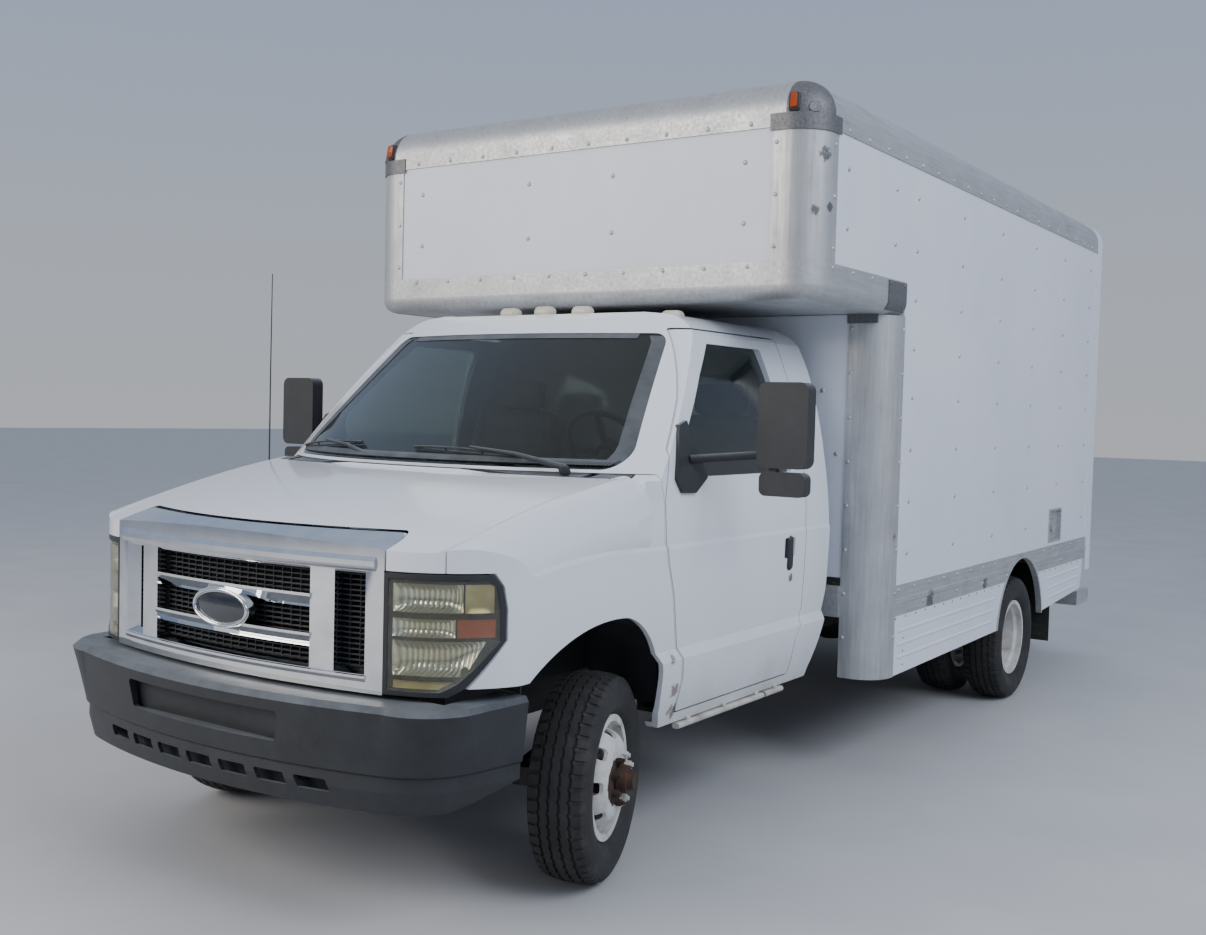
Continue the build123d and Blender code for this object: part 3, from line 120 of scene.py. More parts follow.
world = bpy.data.worlds.new("studio")
bpy.context.scene.world = world
world.use_nodes = True
tree = world.node_tree
direction = add(tree, "TexCoord", "Generated")
height = add(tree, "SeparateXYZ", "Z", {"Vector": direction})
away = add(tree, "SeparateXYZ", "Y", {"Vector": direction})
sky = add(tree, "ValToRGB", "Color", {"Fac": height}, [
    (0.0, "#d3d7dd"), (0.12, "#cdd5e2"), (0.35, "#b4c6e6"), (0.7, "#c9d8f2"), (1.0, "#eef3fb")])
# The wall behind the camera is dark to head height, so that plated parts have an edge to show.
behind = add(tree, "MapRange", "Result", {"Value": away, "From Min": -0.25, "From Max": -0.6})
wall = add(tree, "MapRange", "Result", {"Value": height, "From Min": 0.1, "From Max": 0.06})
shade = add(tree, "Math", 0, {0: behind, 1: wall}, operation="MULTIPLY")
room = add(tree, "Mix", 2, {0: shade, 6: sky, 7: linear("#6d737c")}, data_type="RGBA")
fill(tree.nodes["Background"], {"Color": room, "Strength": 0.72})

for name, where, aim, width, depth, watts, colour in (
    ("nose_lamp", (-5.5, -11.0, 6.0), (0.0, -2.0, 1.4), 7.0, 5.0, 900.0, "#fff6ea"),
    ("side_lamp", (8.5, -2.0, 7.5), (1.0, 0.5, 1.2), 8.0, 5.0, 620.0, "#f1f6ff"),
):
    lamp = bpy.data.lights.new(name, "AREA")
    lamp.shape = "RECTANGLE"
    lamp.size, lamp.size_y, lamp.energy = width, depth, watts
    lamp.color = linear(colour)[:3]
    lamp_object = bpy.data.objects.new(name, lamp)
    lamp_object.location = where
    lamp_object.rotation_euler = (Vector(aim) - Vector(where)).to_track_quat("-Z", "Y").to_euler()
    bpy.context.scene.collection.objects.link(lamp_object)


# Cab shell, hood, fenders and doors: pressed steel panels in gloss white enamel. Years of road
# leave a grey film that thickens towards the sills, fine chips and a little rust low down
# behind the wheel.
def dress(nodes, *finishes):
    """Gives carried-over panels their finish, in place of the plain one they come with."""
    for node in nodes:
        mesh = frame["nodes"][node].data
        mesh.materials.clear()
        for finish in finishes:
            mesh.materials.append(finish)


def rub(tree, place, base, colour, speck, faint, full, share, marks):
    """Rub marks (x, y, z, reach) in m on a base colour, where speck runs from faint to full."""
    for x, y, z, reach in marks:
        away = add(tree, "VectorMath", "Value", {0: place, 1: (x, y, z)}, operation="DISTANCE")
        near = add(tree, "MapRange", "Result", {"Value": away, "From Min": reach, "From Max": reach * 0.2})
        mark = add(tree, "Math", 0, {0: near, 1: speck}, operation="MULTIPLY")
        worn = add(tree, "MapRange", "Result", {
            "Value": mark, "From Min": faint, "From Max": full, "To Max": share})
        base = add(tree, "Mix", 2, {0: worn, 6: base, 7: linear(colour)}, data_type="RGBA")
    return base


enamel, tree, shader, place = new_finish("gloss_white_enamel")
height = add(tree, "SeparateXYZ", "Z", {"Vector": place})
low_down = add(tree, "MapRange", "Result", {
    "Value": height, "From Min": 1.05, "From Max": 0.45, "To Max": 0.75})
film = add(tree, "TexNoise", "Fac", {"Vector": place, "Scale": 2.2, "Detail": 9.0, "Roughness": 0.62})
dirt = add(tree, "Math", 0, {0: film, 1: low_down}, operation="MULTIPLY")
base = add(tree, "ValToRGB", "Color", {"Fac": dirt}, [(0.0, "#e9edf3"), (0.25, "#dcdfe3"), (0.6, "#a9a49b")])
# Chips are about 4 mm across; they show as dark specks low on the panels.
chips = add(tree, "TexNoise", "Fac", {"Vector": place, "Scale": 120.0, "Detail": 2.0})
chipped = add(tree, "Math", 0, {0: chips, 1: 0.735}, operation="GREATER_THAN")
chip_zone = add(tree, "Math", 0, {0: chipped, 1: low_down}, operation="MULTIPLY")
base = add(tree, "Mix", 2, {0: chip_zone, 6: base, 7: linear("#5d4a3d")}, data_type="RGBA")
# Scrapes on the driver's side: along the wheel arch's rear lip and low on the door's edge.
scrape = add(tree, "TexNoise", "Fac", {"Vector": place, "Scale": 38.0, "Detail": 8.0, "Roughness": 0.75})
base = rub(tree, place, base, "#6b5344", scrape, 0.4, 0.48, 0.85, (
    (0.99, -2.02, 0.62, 0.09), (0.98, -2.0, 0.53, 0.1), (0.99, -2.06, 0.74, 0.07), (0.995, -1.95, 0.5, 0.07)))
gloss = add(tree, "MapRange", "Result", {"Value": dirt, "To Min": 0.2, "To Max": 0.75})
# Orange peel: waves about 5 mm long in the sprayed coat.
peel = add(tree, "TexNoise", "Fac", {"Vector": place, "Scale": 200.0, "Detail": 1.0})
waves = add(tree, "Bump", "Normal", {"Height": peel, "Strength": 0.12, "Distance": 0.0006})
fill(shader, {
    "Base Color": base, "Roughness": gloss, "Normal": waves, "Coat Weight": 0.6, "Coat Roughness": 0.06})
dress(("cab_shell", "hood", "fenders", "door_left", "door_right"), enamel)

# Box panels: thin prefinished white sheet over posts, a little wavy between its rows of rivets,
# with a faint grey film of road dust. The roll-up door and rear frame are the same white.
panel, tree, shader, place = new_finish("white_prefinished_sheet")
dust = add(tree, "TexNoise", "Fac", {"Vector": place, "Scale": 1.3, "Detail": 8.0, "Roughness": 0.6})
base = add(tree, "ValToRGB", "Color", {"Fac": dust}, [(0.25, "#d9dee8"), (0.6, "#e4e8f0"), (0.8, "#dcdfe4")])
# The sheet pulls in between posts 610 mm apart; the waves are drawn at that length.
sag = add(tree, "TexNoise", "Fac", {"Vector": place, "Scale": 1.6, "Detail": 1.0})
waves = add(tree, "Bump", "Normal", {"Height": sag, "Strength": 0.25, "Distance": 0.01})
fill(shader, {"Base Color": base, "Normal": waves, "Roughness": 0.36})
dress(("box_side_walls", "box_front_walls", "box_roof", "roll_up_door", "rear_frame", "skirts"), panel)

# Rails, posts and columns: mill-finish aluminium extrusions. They have dulled and carry long
# fine scratches along their length, and dark rub marks, a hand's breadth long, where the
# driver's side has met branches and docks.
rail_marks = ((1.206, -1.309, 2.705, 0.075), (1.184, -1.345, 2.475, 0.05), (1.216, -1.275, 2.495, 0.05),
              (1.214, 0.05, 0.756, 0.12), (1.203, 0.9, 0.756, 0.09), (1.2, -0.46, 1.1, 0.06))


def mill_finish(name, stretch):
    """Mill aluminium whose scratches run along the axis with the small stretch value."""
    made, tree, shader, place = new_finish(name)
    run = add(tree, "Mapping", "Vector", {"Vector": place, "Scale": stretch})
    scratch = add(tree, "TexNoise", "Fac", {"Vector": run, "Scale": 60.0, "Detail": 6.0})
    cloud = add(tree, "TexNoise", "Fac", {"Vector": place, "Scale": 5.0, "Detail": 9.0, "Roughness": 0.7})
    both = add(tree, "Math", 0, {0: scratch, 1: cloud}, operation="MULTIPLY")
    base = add(tree, "ValToRGB", "Color", {"Fac": both}, [
        (0.06, "#8c8b8a"), (0.16, "#b4b5b6"), (0.4, "#c9cbcd")])
    speck = add(tree, "TexNoise", "Fac", {"Vector": place, "Scale": 55.0, "Detail": 7.0, "Roughness": 0.75})
    base = rub(tree, place, base, "#4a4a4b", speck, 0.34, 0.44, 0.8, rail_marks)
    dull = add(tree, "MapRange", "Result", {"Value": both, "From Max": 0.5, "To Min": 0.62, "To Max": 0.36})
    ridges = add(tree, "Bump", "Normal", {"Height": scratch, "Strength": 0.25, "Distance": 0.0006})
    fill(shader, {"Base Color": base, "Roughness": dull, "Normal": ridges, "Metallic": 0.7})
    return made


rail_metal = mill_finish("mill_aluminium_rail", (1.0, 0.06, 1.0))
post_metal = mill_finish("mill_aluminium_post", (1.0, 1.0, 0.06))
dress(("attic_rails", "rub_rails", "attic_floor", "rear_bumper", "ramp", "fuel_filler"), rail_metal)
dress(("attic_posts", "front_columns"), post_metal)

# Corner castings at the attic's two upper corners: sand-cast aluminium, dull grey and pitted,
# riveted over the rails' meeting ends. The domed corner above each belongs to it.
casting, tree, shader, place = new_finish("sand_cast_aluminium")
pits = add(tree, "TexNoise", "Fac", {"Vector": place, "Scale": 90.0, "Detail": 8.0, "Roughness": 0.7})
base = add(tree, "ValToRGB", "Color", {"Fac": pits}, [(0.3, "#5d5d60"), (0.7, "#86868a")])
rough = add(tree, "Bump", "Normal", {"Height": pits, "Strength": 0.5, "Distance": 0.001})
fill(shader, {"Base Color": base, "Normal": rough, "Metallic": 0.7, "Roughness": 0.55})
dress(("corner_castings",), casting)
dress(("top_rails",), rail_metal, casting)
corner_inner_x, corner_rear_y = 1.069, -1.249
for face in frame["nodes"]["top_rails"].data.polygons:
    if abs(face.center.x) > corner_inner_x and face.center.y < corner_rear_y:
        face.material_index = 1

# Bumper, cowl, mirror and headlamp housings, wheel arch liners, tank and steering wheel: black
# polyolefin, moulded with a fine grain. Faces turned to the sky carry painted sky light, a lighter
# grey, and random faded blotches grey it further.
black_moulding, tree, shader, place = new_finish("grained_black_polyolefin")
facing = add(tree, "SeparateXYZ", "Z", {"Vector": add(tree, "NewGeometry", "Normal")})
# Painted sky light: the more a face turns up, the lighter grey it is painted.
painted_sky_light = add(tree, "MapRange", "Result", {
    "Value": facing, "From Min": 0.15, "From Max": 0.95, "To Max": 0.62})
blotch = add(tree, "TexNoise", "Fac", {"Vector": place, "Scale": 9.0, "Detail": 8.0, "Roughness": 0.7})
uneven = add(tree, "MapRange", "Result", {"Value": blotch, "From Min": 0.3, "From Max": 0.8, "To Max": 0.28})
# The painted sky light added to the random faded blotches.
grey = add(tree, "Math", 0, {0: painted_sky_light, 1: uneven}, operation="ADD", use_clamp=True)
base = add(tree, "ValToRGB", "Color", {"Fac": grey}, [(0.0, "#232528"), (0.35, "#34373b"), (1.0, "#80868c")])
# Grain is under 1 mm; it is drawn at 3 mm so that it shows.
grain = add(tree, "TexVoronoi", "Distance", {"Vector": place, "Scale": 330.0})
leather = add(tree, "Bump", "Normal", {"Height": grain, "Strength": 0.35, "Distance": 0.0008})
fill(shader, {"Base Color": base, "Normal": leather, "Roughness": 0.5})
dress(("front_bumper", "cowl_panel", "wheel_liners", "headlamps", "mirror_left", "mirror_right", "fuel_tank",
       "steering_wheel"), black_moulding)

# Grille: ABS plated with bright chrome. The plating is clear and mirror-like, with faint haze
# and road spots low down.
chrome, tree, shader, place = new_finish("chrome_plated_abs")
spots = add(tree, "TexNoise", "Fac", {"Vector": place, "Scale": 12.0, "Detail": 7.0})
base = add(tree, "ValToRGB", "Color", {"Fac": spots}, [(0.3, "#d6d9dc"), (0.6, "#e3e5e7")])
haze = add(tree, "MapRange", "Result", {
    "Value": spots, "From Min": 0.45, "From Max": 0.8, "To Min": 0.04, "To Max": 0.12})
fill(shader, {"Base Color": base, "Roughness": haze, "Metallic": 1.0})
dress(("grille",), chrome)

# Running gear: frame rails, cross bearers, axles and springs in satin chassis black under a
# brown-grey coat of dried road spray.
chassis_black, tree, shader, place = new_finish("satin_chassis_black")
spray = add(tree, "TexNoise", "Fac", {"Vector": place, "Scale": 7.0, "Detail": 9.0, "Roughness": 0.7})
base = add(tree, "ValToRGB", "Color", {"Fac": spray}, [
    (0.35, "#191a1b"), (0.55, "#2b2927"), (0.75, "#4d4740")])
crust = add(tree, "Bump", "Normal", {"Height": spray, "Strength": 0.4, "Distance": 0.002})
fill(shader, {"Base Color": base, "Normal": crust, "Roughness": 0.62})
dress(("frame_rails", "front_axle", "rear_axle", "leaf_springs", "box_bearers"), chassis_black)

# Engine block and steering knuckles: bare cast iron, rusted to a dry brown. The block stands on
# mounts on the frame rails, and the knuckles turn on the front axle's kingpins.
cast_iron, tree, shader, place = new_finish("rusted_cast_iron")
rust = add(tree, "TexNoise", "Fac", {"Vector": place, "Scale": 18.0, "Detail": 9.0, "Roughness": 0.72})
base = add(tree, "ValToRGB", "Color", {"Fac": rust}, [(0.3, "#2e2825"), (0.55, "#4c3a30"), (0.75, "#70492f")])
scale_bumps = add(tree, "Bump", "Normal", {"Height": rust, "Strength": 0.5, "Distance": 0.002})
fill(shader, {"Base Color": base, "Normal": scale_bumps, "Metallic": 0.3, "Roughness": 0.8})
dress(("engine_block", "knuckle_left", "knuckle_right"), cast_iron)

# Exhaust: aluminised steel, dull and heat-stained brown in patches.
aluminised, tree, shader, place = new_finish("aluminised_exhaust_steel")
stain = add(tree, "TexNoise", "Fac", {"Vector": place, "Scale": 6.0, "Detail": 8.0, "Roughness": 0.65})
base = add(tree, "ValToRGB", "Color", {"Fac": stain}, [
    (0.35, "#8c8680"), (0.55, "#7a6350"), (0.75, "#523a2c")])
worn = add(tree, "MapRange", "Result", {"Value": stain, "To Min": 0.35, "To Max": 0.8})
fill(shader, {"Base Color": base, "Roughness": worn, "Metallic": 0.75})
dress(("exhaust",), aluminised)

# Windshield and door glass: laminated safety glass with a faint grey-green tint. From outside
# it is mostly reflection, with the dark cab behind.
glass, tree, shader, place = new_finish("tinted_safety_glass")
smear = add(tree, "TexNoise", "Fac", {"Vector": place, "Scale": 3.0, "Detail": 6.0})
base = add(tree, "ValToRGB", "Color", {"Fac": smear}, [(0.3, "#8d9a97"), (0.7, "#97a3a1")])
haze = add(tree, "MapRange", "Result", {"Value": smear, "From Min": 0.4, "To Min": 0.015, "To Max": 0.07})
fill(shader, {"Base Color": base, "Roughness": haze, "Transmission Weight": 1.0, "IOR": 1.45})
dress(("windshield", "door_glass_left", "door_glass_right"), glass)

# Headlamp covers: clear polycarbonate that the sun has yellowed and clouded in patches. They
# are let into the front of the black housings.
cover, tree, shader, place = new_finish("clouded_polycarbonate")
cloud = add(tree, "TexNoise", "Fac", {"Vector": place, "Scale": 7.0, "Detail": 8.0, "Roughness": 0.6})
base = add(tree, "ValToRGB", "Color", {"Fac": cloud}, [(0.35, "#f2f2ea"), (0.7, "#e0dcc2")])
fog = add(tree, "MapRange", "Result", {
    "Value": cloud, "From Min": 0.35, "From Max": 0.75, "To Min": 0.04, "To Max": 0.22})
fill(shader, {"Base Color": base, "Roughness": fog, "Transmission Weight": 0.94, "IOR": 1.2})
dress(("headlamp_lenses",), cover)

# Roof marker lamps: five small polycarbonate domes along the cab roof's front edge, bleached to
# a milky white.
milky, tree, shader, place = new_finish("bleached_marker_polycarbonate")
cloud = add(tree, "TexNoise", "Fac", {"Vector": place, "Scale": 30.0, "Detail": 5.0})
base = add(tree, "ValToRGB", "Color", {"Fac": cloud}, [(0.3, "#d9d6c6"), (0.7, "#c3bda4")])
fill(shader, {"Base Color": base, "Roughness": 0.3, "Subsurface Weight": 0.2})
dress(("marker_lamps",), milky)

# Cargo deck: laminated hardwood planks running lengthwise over the cross bearers, oiled and
# scuffed grey-brown.
deck_wood, tree, shader, place = new_finish("oiled_hardwood_deck")
along = add(tree, "Mapping", "Vector", {"Vector": place, "Scale": (1.0, 0.05, 1.0)})
fibre = add(tree, "TexNoise", "Fac", {"Vector": along, "Scale": 60.0, "Detail": 7.0})
base = add(tree, "ValToRGB", "Color", {"Fac": fibre}, [(0.3, "#5a4230"), (0.5, "#7b5d43"), (0.7, "#957554")])
planks = add(tree, "TexWave", "Fac", {"Vector": place, "Scale": 1.6}, bands_direction="X")
gaps = add(tree, "Bump", "Normal", {"Height": planks, "Strength": 0.2, "Distance": 0.003})
fill(shader, {"Base Color": base, "Normal": gaps, "Roughness": 0.6})
dress(("box_deck",), deck_wood)

# Dashboard and cab floor: charcoal moulded trim with a matt grain, fixed to the cab's shell.
# The seats' plinths, made further on, use the same trim.
trim, tree, shader, place = new_finish("charcoal_moulded_trim")
dust = add(tree, "TexNoise", "Fac", {"Vector": place, "Scale": 8.0, "Detail": 7.0})
base = add(tree, "ValToRGB", "Color", {"Fac": dust}, [(0.3, "#2c2d30"), (0.75, "#44454a")])
# The grain is drawn at 4 mm; the real one is under 1 mm.
grain = add(tree, "TexVoronoi", "Distance", {"Vector": place, "Scale": 250.0})
leather = add(tree, "Bump", "Normal", {"Height": grain, "Strength": 0.3, "Distance": 0.0006})
fill(shader, {"Base Color": base, "Normal": leather, "Roughness": 0.68})
dress(("dashboard", "cab_floor"), trim)

# Tyres and mud flaps: black rubber, browned by road dust that sits in the tread and bleaches
# the sidewalls.
rubber, tree, shader, place = new_finish("weathered_tyre_rubber")
dusting = add(tree, "TexNoise", "Fac", {"Vector": place, "Scale": 11.0, "Detail": 9.0, "Roughness": 0.7})
base = add(tree, "ValToRGB", "Color", {"Fac": dusting}, [
    (0.3, "#1c1c1d"), (0.55, "#2c2b2a"), (0.8, "#4b4742")])
fine = add(tree, "TexNoise", "Fac", {"Vector": place, "Scale": 160.0, "Detail": 3.0})
matt = add(tree, "Bump", "Normal", {"Height": fine, "Strength": 0.25, "Distance": 0.001})
fill(shader, {"Base Color": base, "Normal": matt, "Roughness": 0.72})
dress(("mud_flaps", "tyre_front_left", "tyre_front_right", "tyres_rear_left", "tyres_rear_right"), rubber)

# Wheels: pressed steel discs in white enamel, chipped and rust-stained round the nuts. The hub
# in the middle and the wheel nuts are bare steel, dark with rust.
wheel_enamel, tree, shader, place = new_finish("stained_white_wheel_enamel")
stain = add(tree, "TexNoise", "Fac", {"Vector": place, "Scale": 10.0, "Detail": 9.0, "Roughness": 0.7})
base = add(tree, "ValToRGB", "Color", {"Fac": stain}, [
    (0.35, "#dadbda"), (0.55, "#c5c3bd"), (0.68, "#97897a"), (0.78, "#6a4c38")])
worn = add(tree, "MapRange", "Result", {"Value": stain, "To Min": 0.3, "To Max": 0.8})
fill(shader, {"Base Color": base, "Roughness": worn})
wheels = ("rim_front_left", "rim_front_right", "rims_rear_left", "rims_rear_right")
dress(wheels, wheel_enamel, cast_iron)
hub_reach = 0.083
for wheel in wheels:
    low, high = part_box(wheel)
    middle = (low + high) / 2
    for face in frame["nodes"][wheel].data.polygons:
        if math.hypot(face.center.y - middle.y, face.center.z - middle.z) < hub_reach:
            face.material_index = 1


# Tyres: 225 mm wide highway tyres with five ribs. The outer ribs are cut across into blocks, the
# inner ones run round and round, and each sidewall carries two low rings. They stand for the
# plain tyres of the model and turn with the wheels.
truck_middle_y = 2390


def at(x, y, z):
    """A place in mm as a point in the frame; y counts back from 45 mm behind the front axle."""
    return Vector((x / 1000, (y - truck_middle_y) / 1000, z / 1000))


def add_piece(name, shape, finish, body="chassis", crease=35.0):
    """Makes a named piece from its (points, faces) and fixes it to a body of the truck."""
    points, faces = shape
    mesh = bpy.data.meshes.new(name)
    mesh.from_pydata([tuple(point) for point in points], [], faces)
    mesh.validate()
    turned = bmesh.new()
    turned.from_mesh(mesh)
    bmesh.ops.recalc_face_normals(turned, faces=turned.faces)
    turned.to_mesh(mesh)
    turned.free()
    mesh.polygons.foreach_set("use_smooth", [True] * len(mesh.polygons))
    mesh.set_sharp_from_angle(angle=math.radians(crease))
    mesh.materials.append(finish)
    made = bpy.data.objects.new(name, mesh)
    bpy.context.scene.collection.objects.link(made)
    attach(made, body)
    return made


def joined(shapes):
    """Several sets of points and faces as one."""
    points, faces = [], []
    for more, more_faces in shapes:
        faces += [tuple(index + len(points) for index in face) for face in more_faces]
        points += more
    return points, faces


def arc_points(start, middle, end, count):
    """Points on the circle through three points of a plane, from start to end."""
    (ax, ay), (bx, by), (cx, cy) = start, middle, end
    d = 2 * (ax * (by - cy) + bx * (cy - ay) + cx * (ay - by))
    a, b, c = ax * ax + ay * ay, bx * bx + by * by, cx * cx + cy * cy
    ux = (a * (by - cy) + b * (cy - ay) + c * (ay - by)) / d
    uy = (a * (cx - bx) + b * (ax - cx) + c * (bx - ax)) / d
    radius = math.hypot(ax - ux, ay - uy)
    first = math.atan2(ay - uy, ax - ux)
    last = math.atan2(cy - uy, cx - ux)
    angles = [first + (last - first) * k / count for k in range(count + 1)]
    return [(ux + radius * math.cos(angle), uy + radius * math.sin(angle)) for angle in angles]


tyre_radius = 365
tread_drop = 14
tread_half_width = 91
cut_depth = 6
pitches = 52
twin_shifts = (-0.153, 0.153)
sidewall = arc_points((76.7, 221.0), (111.0, 292.0), (91.0, 351.0), 14)
# Rows of the section: place across, radius, share of the ribs' zigzag, depth of the cross cuts.
half_section = [(76.7, 204.0, 0, 0)]
for number, (across, radius) in enumerate(sidewall[:-1]):
    ring = 1.2 if number in (3, 9) else 0.0
    half_section.append((across - 1.0 + ring, radius, 0, 3 if radius > 338 else 0))
for across, groove in (
    (90, 0), (80, 0), (70, 0), (57.5, 0), (56, 8), (49, 8), (47.5, 0), (36, 0), (23, 0), (21.5, 8), (14.5, 8),
    (13, 0), (0, 0),
):
    crown = tyre_radius - tread_drop * (across / tread_half_width) ** 2
    zigzag, cut = (1 if 10 < across < 60 else 0), (cut_depth if across > 65 else 0)
    half_section.append((across, crown - groove, zigzag, cut))
section = half_section + [(-x, r, sway, cut) for x, r, sway, cut in reversed(half_section[:-1])]


def tyre_points(centre, axis):
    """Points and faces of one treaded tyre about its centre and spin axis."""
    up = Vector((0, 0, 1))
    along = axis.cross(up)
    points, faces, columns = [], [], []
    for pitch in range(pitches):
        for share, deep in ((0.0, 0), (0.62, 0), (0.68, 1), (0.94, 1)):
            columns.append(((pitch + share) / pitches * 2 * math.pi, deep, 2.0 if share < 0.65 else -2.0))
    for angle, deep, sway in columns:
        out = up * math.cos(angle) + along * math.sin(angle)
        for across, radius, swaying, cut in section:
            shift, reach = (across + sway * swaying) / 1000, (radius - cut * deep) / 1000
            points.append(centre + axis * shift + out * reach)
    rows = len(section)
    for k in range(len(columns)):
        after = (k + 1) % len(columns)
        for row in range(rows):
            next_row = (row + 1) % rows
            faces.append((k * rows + row, after * rows + row, after * rows + next_row, k * rows + next_row))
    return points, faces


spin_axes = {joint["child"]: Vector(joint["axis"]).normalized() for joint in frame["joints"]}
for node, body, shifts in (
    ("tyre_front_left", "wheel_front_left", (0.0,)),
    ("tyre_front_right", "wheel_front_right", (0.0,)),
    ("tyres_rear_left", "wheels_rear_left", twin_shifts),
    ("tyres_rear_right", "wheels_rear_right", twin_shifts),
):
    low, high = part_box(node)
    centres = [(low + high) / 2 + Vector((shift, 0, 0)) for shift in shifts]
    tyres = joined([tyre_points(centre, spin_axes[body]) for centre in centres])
    treaded = add_piece("treaded_" + node, tyres, rubber, body, 28.0)
    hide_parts(node)


# Rivets: round-headed aluminium rivets, 23 mm across on the panels, 21 mm on the rails and 10 mm
# along the tops of the skirts. They stand in rows 203 to 211 mm apart on the rails, and in
# upright rows down the posts inside the box walls.
def rivet_heads(spots, radius, height):
    """Points and faces of domed heads at (place, outward direction) spots."""
    points, faces = [], []
    for place, outward in spots:
        side = outward.orthogonal().normalized()
        other = outward.cross(side)
        base = len(points)
        for share, rise in ((1.0, -0.05), (0.82, 0.55), (0.45, 0.9)):
            for k in range(8):
                angle = k * math.pi / 4
                ring = side * math.cos(angle) + other * math.sin(angle)
                points.append(place + ring * (radius * share) + outward * (height * rise))
        points.append(place + outward * height)
        for row in (0, 8):
            for k in range(8):
                after = (k + 1) % 8
                faces.append((base + row + k, base + row + after, base + row + 8 + after, base + row + 8 + k))
        faces += [(base + 16 + k, base + 16 + (k + 1) % 8, base + 24) for k in range(8)]
    return points, faces


def struck(node, origin, toward):
    """Where a line from origin meets a carried-over panel, with the panel's outward direction."""
    hit, place, normal, _ = frame["nodes"][node].ray_cast(origin, toward)
    if not hit:
        return None
    return place, (normal if normal.dot(toward) < 0 else -normal)


def side_struck(node, side, along, z):
    """The same for a panel's outer side, from 1.5 m out on the side 1 (driver's) or -1."""
    return struck(node, at(1500 * side, along, z), Vector((-side, 0, 0)))


def span(first, step, count):
    return [first + step * k for k in range(count)]


to_front, to_rear, to_sky = Vector((0, -1, 0)), Vector((0, 1, 0)), Vector((0, 0, 1))
rail_rivet = (0.0105, 0.0055)
side_rows = (
    # panel, places along the side, heights
    ("top_rails", span(1282, 211, 20), (2831,)),
    ("box_side_walls", (1296, 1828), (2676, 2431)),
    ("box_side_walls", span(2100, 638, 6), (1015, 1259, 1503, 1747, 1975, 2203, 2431, 2676)),
    ("front_columns", (1956,), span(2054, -203, 8)),
    ("attic_posts", (1152,), (2750, 2541, 2332)),
    ("attic_rails", (1155, 1361, 1567), (2253,)),
    ("rub_rails", span(2010, 207, 8), (848,)),
    ("rub_rails", span(4437, 207, 6), (848,)),
    ("rub_rails", (2347, 2834, 3249, 3690, 4833, 5275), (762,)),
)
front_rows = (
    # panel, places across the front, heights
    ("top_rails", span(-914, 203, 10), (2832,)),
    ("box_front_walls", (-888, -232, 232, 888), (2681, 2433)),
    ("box_front_walls", (-918, -715, -514, -311, -106, 106, 311, 514, 715, 918), (2136,)),
    ("box_front_walls", (-975, 975), (1479,)),
    ("box_front_walls", (-897, 897), (1770,)),
    ("attic_posts", (-1032, 1032), (2750, 2541, 2332)),
    ("attic_rails", span(-914, 203, 10), (2255,)),
    ("front_columns", (-1036, 1036), span(2054, -203, 8)),
)
panel_spots, rail_spots, skirt_spots = [], [], []
for panel_name, alongs, heights in side_rows:
    for along in alongs:
        for z in heights:
            for side in (1, -1):
                found = side_struck(panel_name, side, along, z)
                if found:
                    (panel_spots if panel_name == "box_side_walls" else rail_spots).append(found)
for panel_name, acrosses, heights in front_rows:
    for across in acrosses:
        for z in heights:
            # Under the attic the line starts behind the attic's front wall.
            start_y = 1200 if z < 2200 else 700
            found = struck(panel_name, at(across, start_y, z), to_rear)
            if found:
                (panel_spots if panel_name == "box_front_walls" else rail_spots).append(found)
add_piece("panel_rivets", rivet_heads(panel_spots, 0.0115, 0.006), rail_metal)
add_piece("rail_rivets", rivet_heads(rail_spots, *rail_rivet), rail_metal)
skirt_places = [(along, 714) for along in span(1990, 130, 14) + span(4330, 130, 9)]
skirt_places += [(2095, z) for z in (612, 551, 486)]
for along, z in skirt_places:
    for side in (1, -1):
        found = side_struck("skirts", side, along, z)
        if found:
            skirt_spots.append(found)
add_piece("skirt_rivets", rivet_heads(skirt_spots, 0.005, 0.0025), chassis_black)


# Attic corner marker lamps: a short upright amber lens in a black rubber bezel, one on each
# corner casting, facing forward.
def slab(centre, outward, upward, width, height, thick, corner, steps=5):
    """A rounded plate with a bevelled front, thick outward from centre."""
    across = upward.cross(outward).normalized()
    ring = []
    for quarter in range(4):
        for step in range(steps + 1):
            angle = (quarter + step / steps) * math.pi / 2
            cx = (width / 2 - corner) * (1 if quarter in (0, 3) else -1)
            cy = (height / 2 - corner) * (1 if quarter in (0, 1) else -1)
            ring.append((cx + corner * math.cos(angle), cy + corner * math.sin(angle)))
    points = []
    for inset, depth in ((0.0, 0.0), (0.0, thick * 0.6), (min(corner, thick) * 0.35, thick)):
        for x, y in ring:
            sx = x * (1 - 2 * inset / width)
            sy = y * (1 - 2 * inset / height)
            points.append(centre + across * sx + upward * sy + outward * depth)
    n = len(ring)
    faces = [(row + k, row + (k + 1) % n, row + n + (k + 1) % n, row + n + k)
             for row in (0, n) for k in range(n)]
    return points, faces + [tuple(range(n))[::-1], tuple(range(2 * n, 3 * n))]


def lens_acrylic(name, scale, stops, values):
    """Coloured acrylic. Its inner prisms, 4 to 5 mm across, show as a faint grid of cells."""
    made, tree, shader, place = new_finish(name)
    prisms = add(tree, "TexVoronoi", "Distance", {"Vector": place, "Scale": scale})
    facets = add(tree, "Bump", "Normal", {"Height": prisms, "Strength": 0.3, "Distance": 0.001})
    fill(shader, {
        "Base Color": add(tree, "ValToRGB", "Color", {"Fac": prisms}, stops), "Normal": facets, **values})
    return made


def upright(outward):
    """The direction in a surface that points most nearly up."""
    return (to_sky - outward * outward.z).normalized()


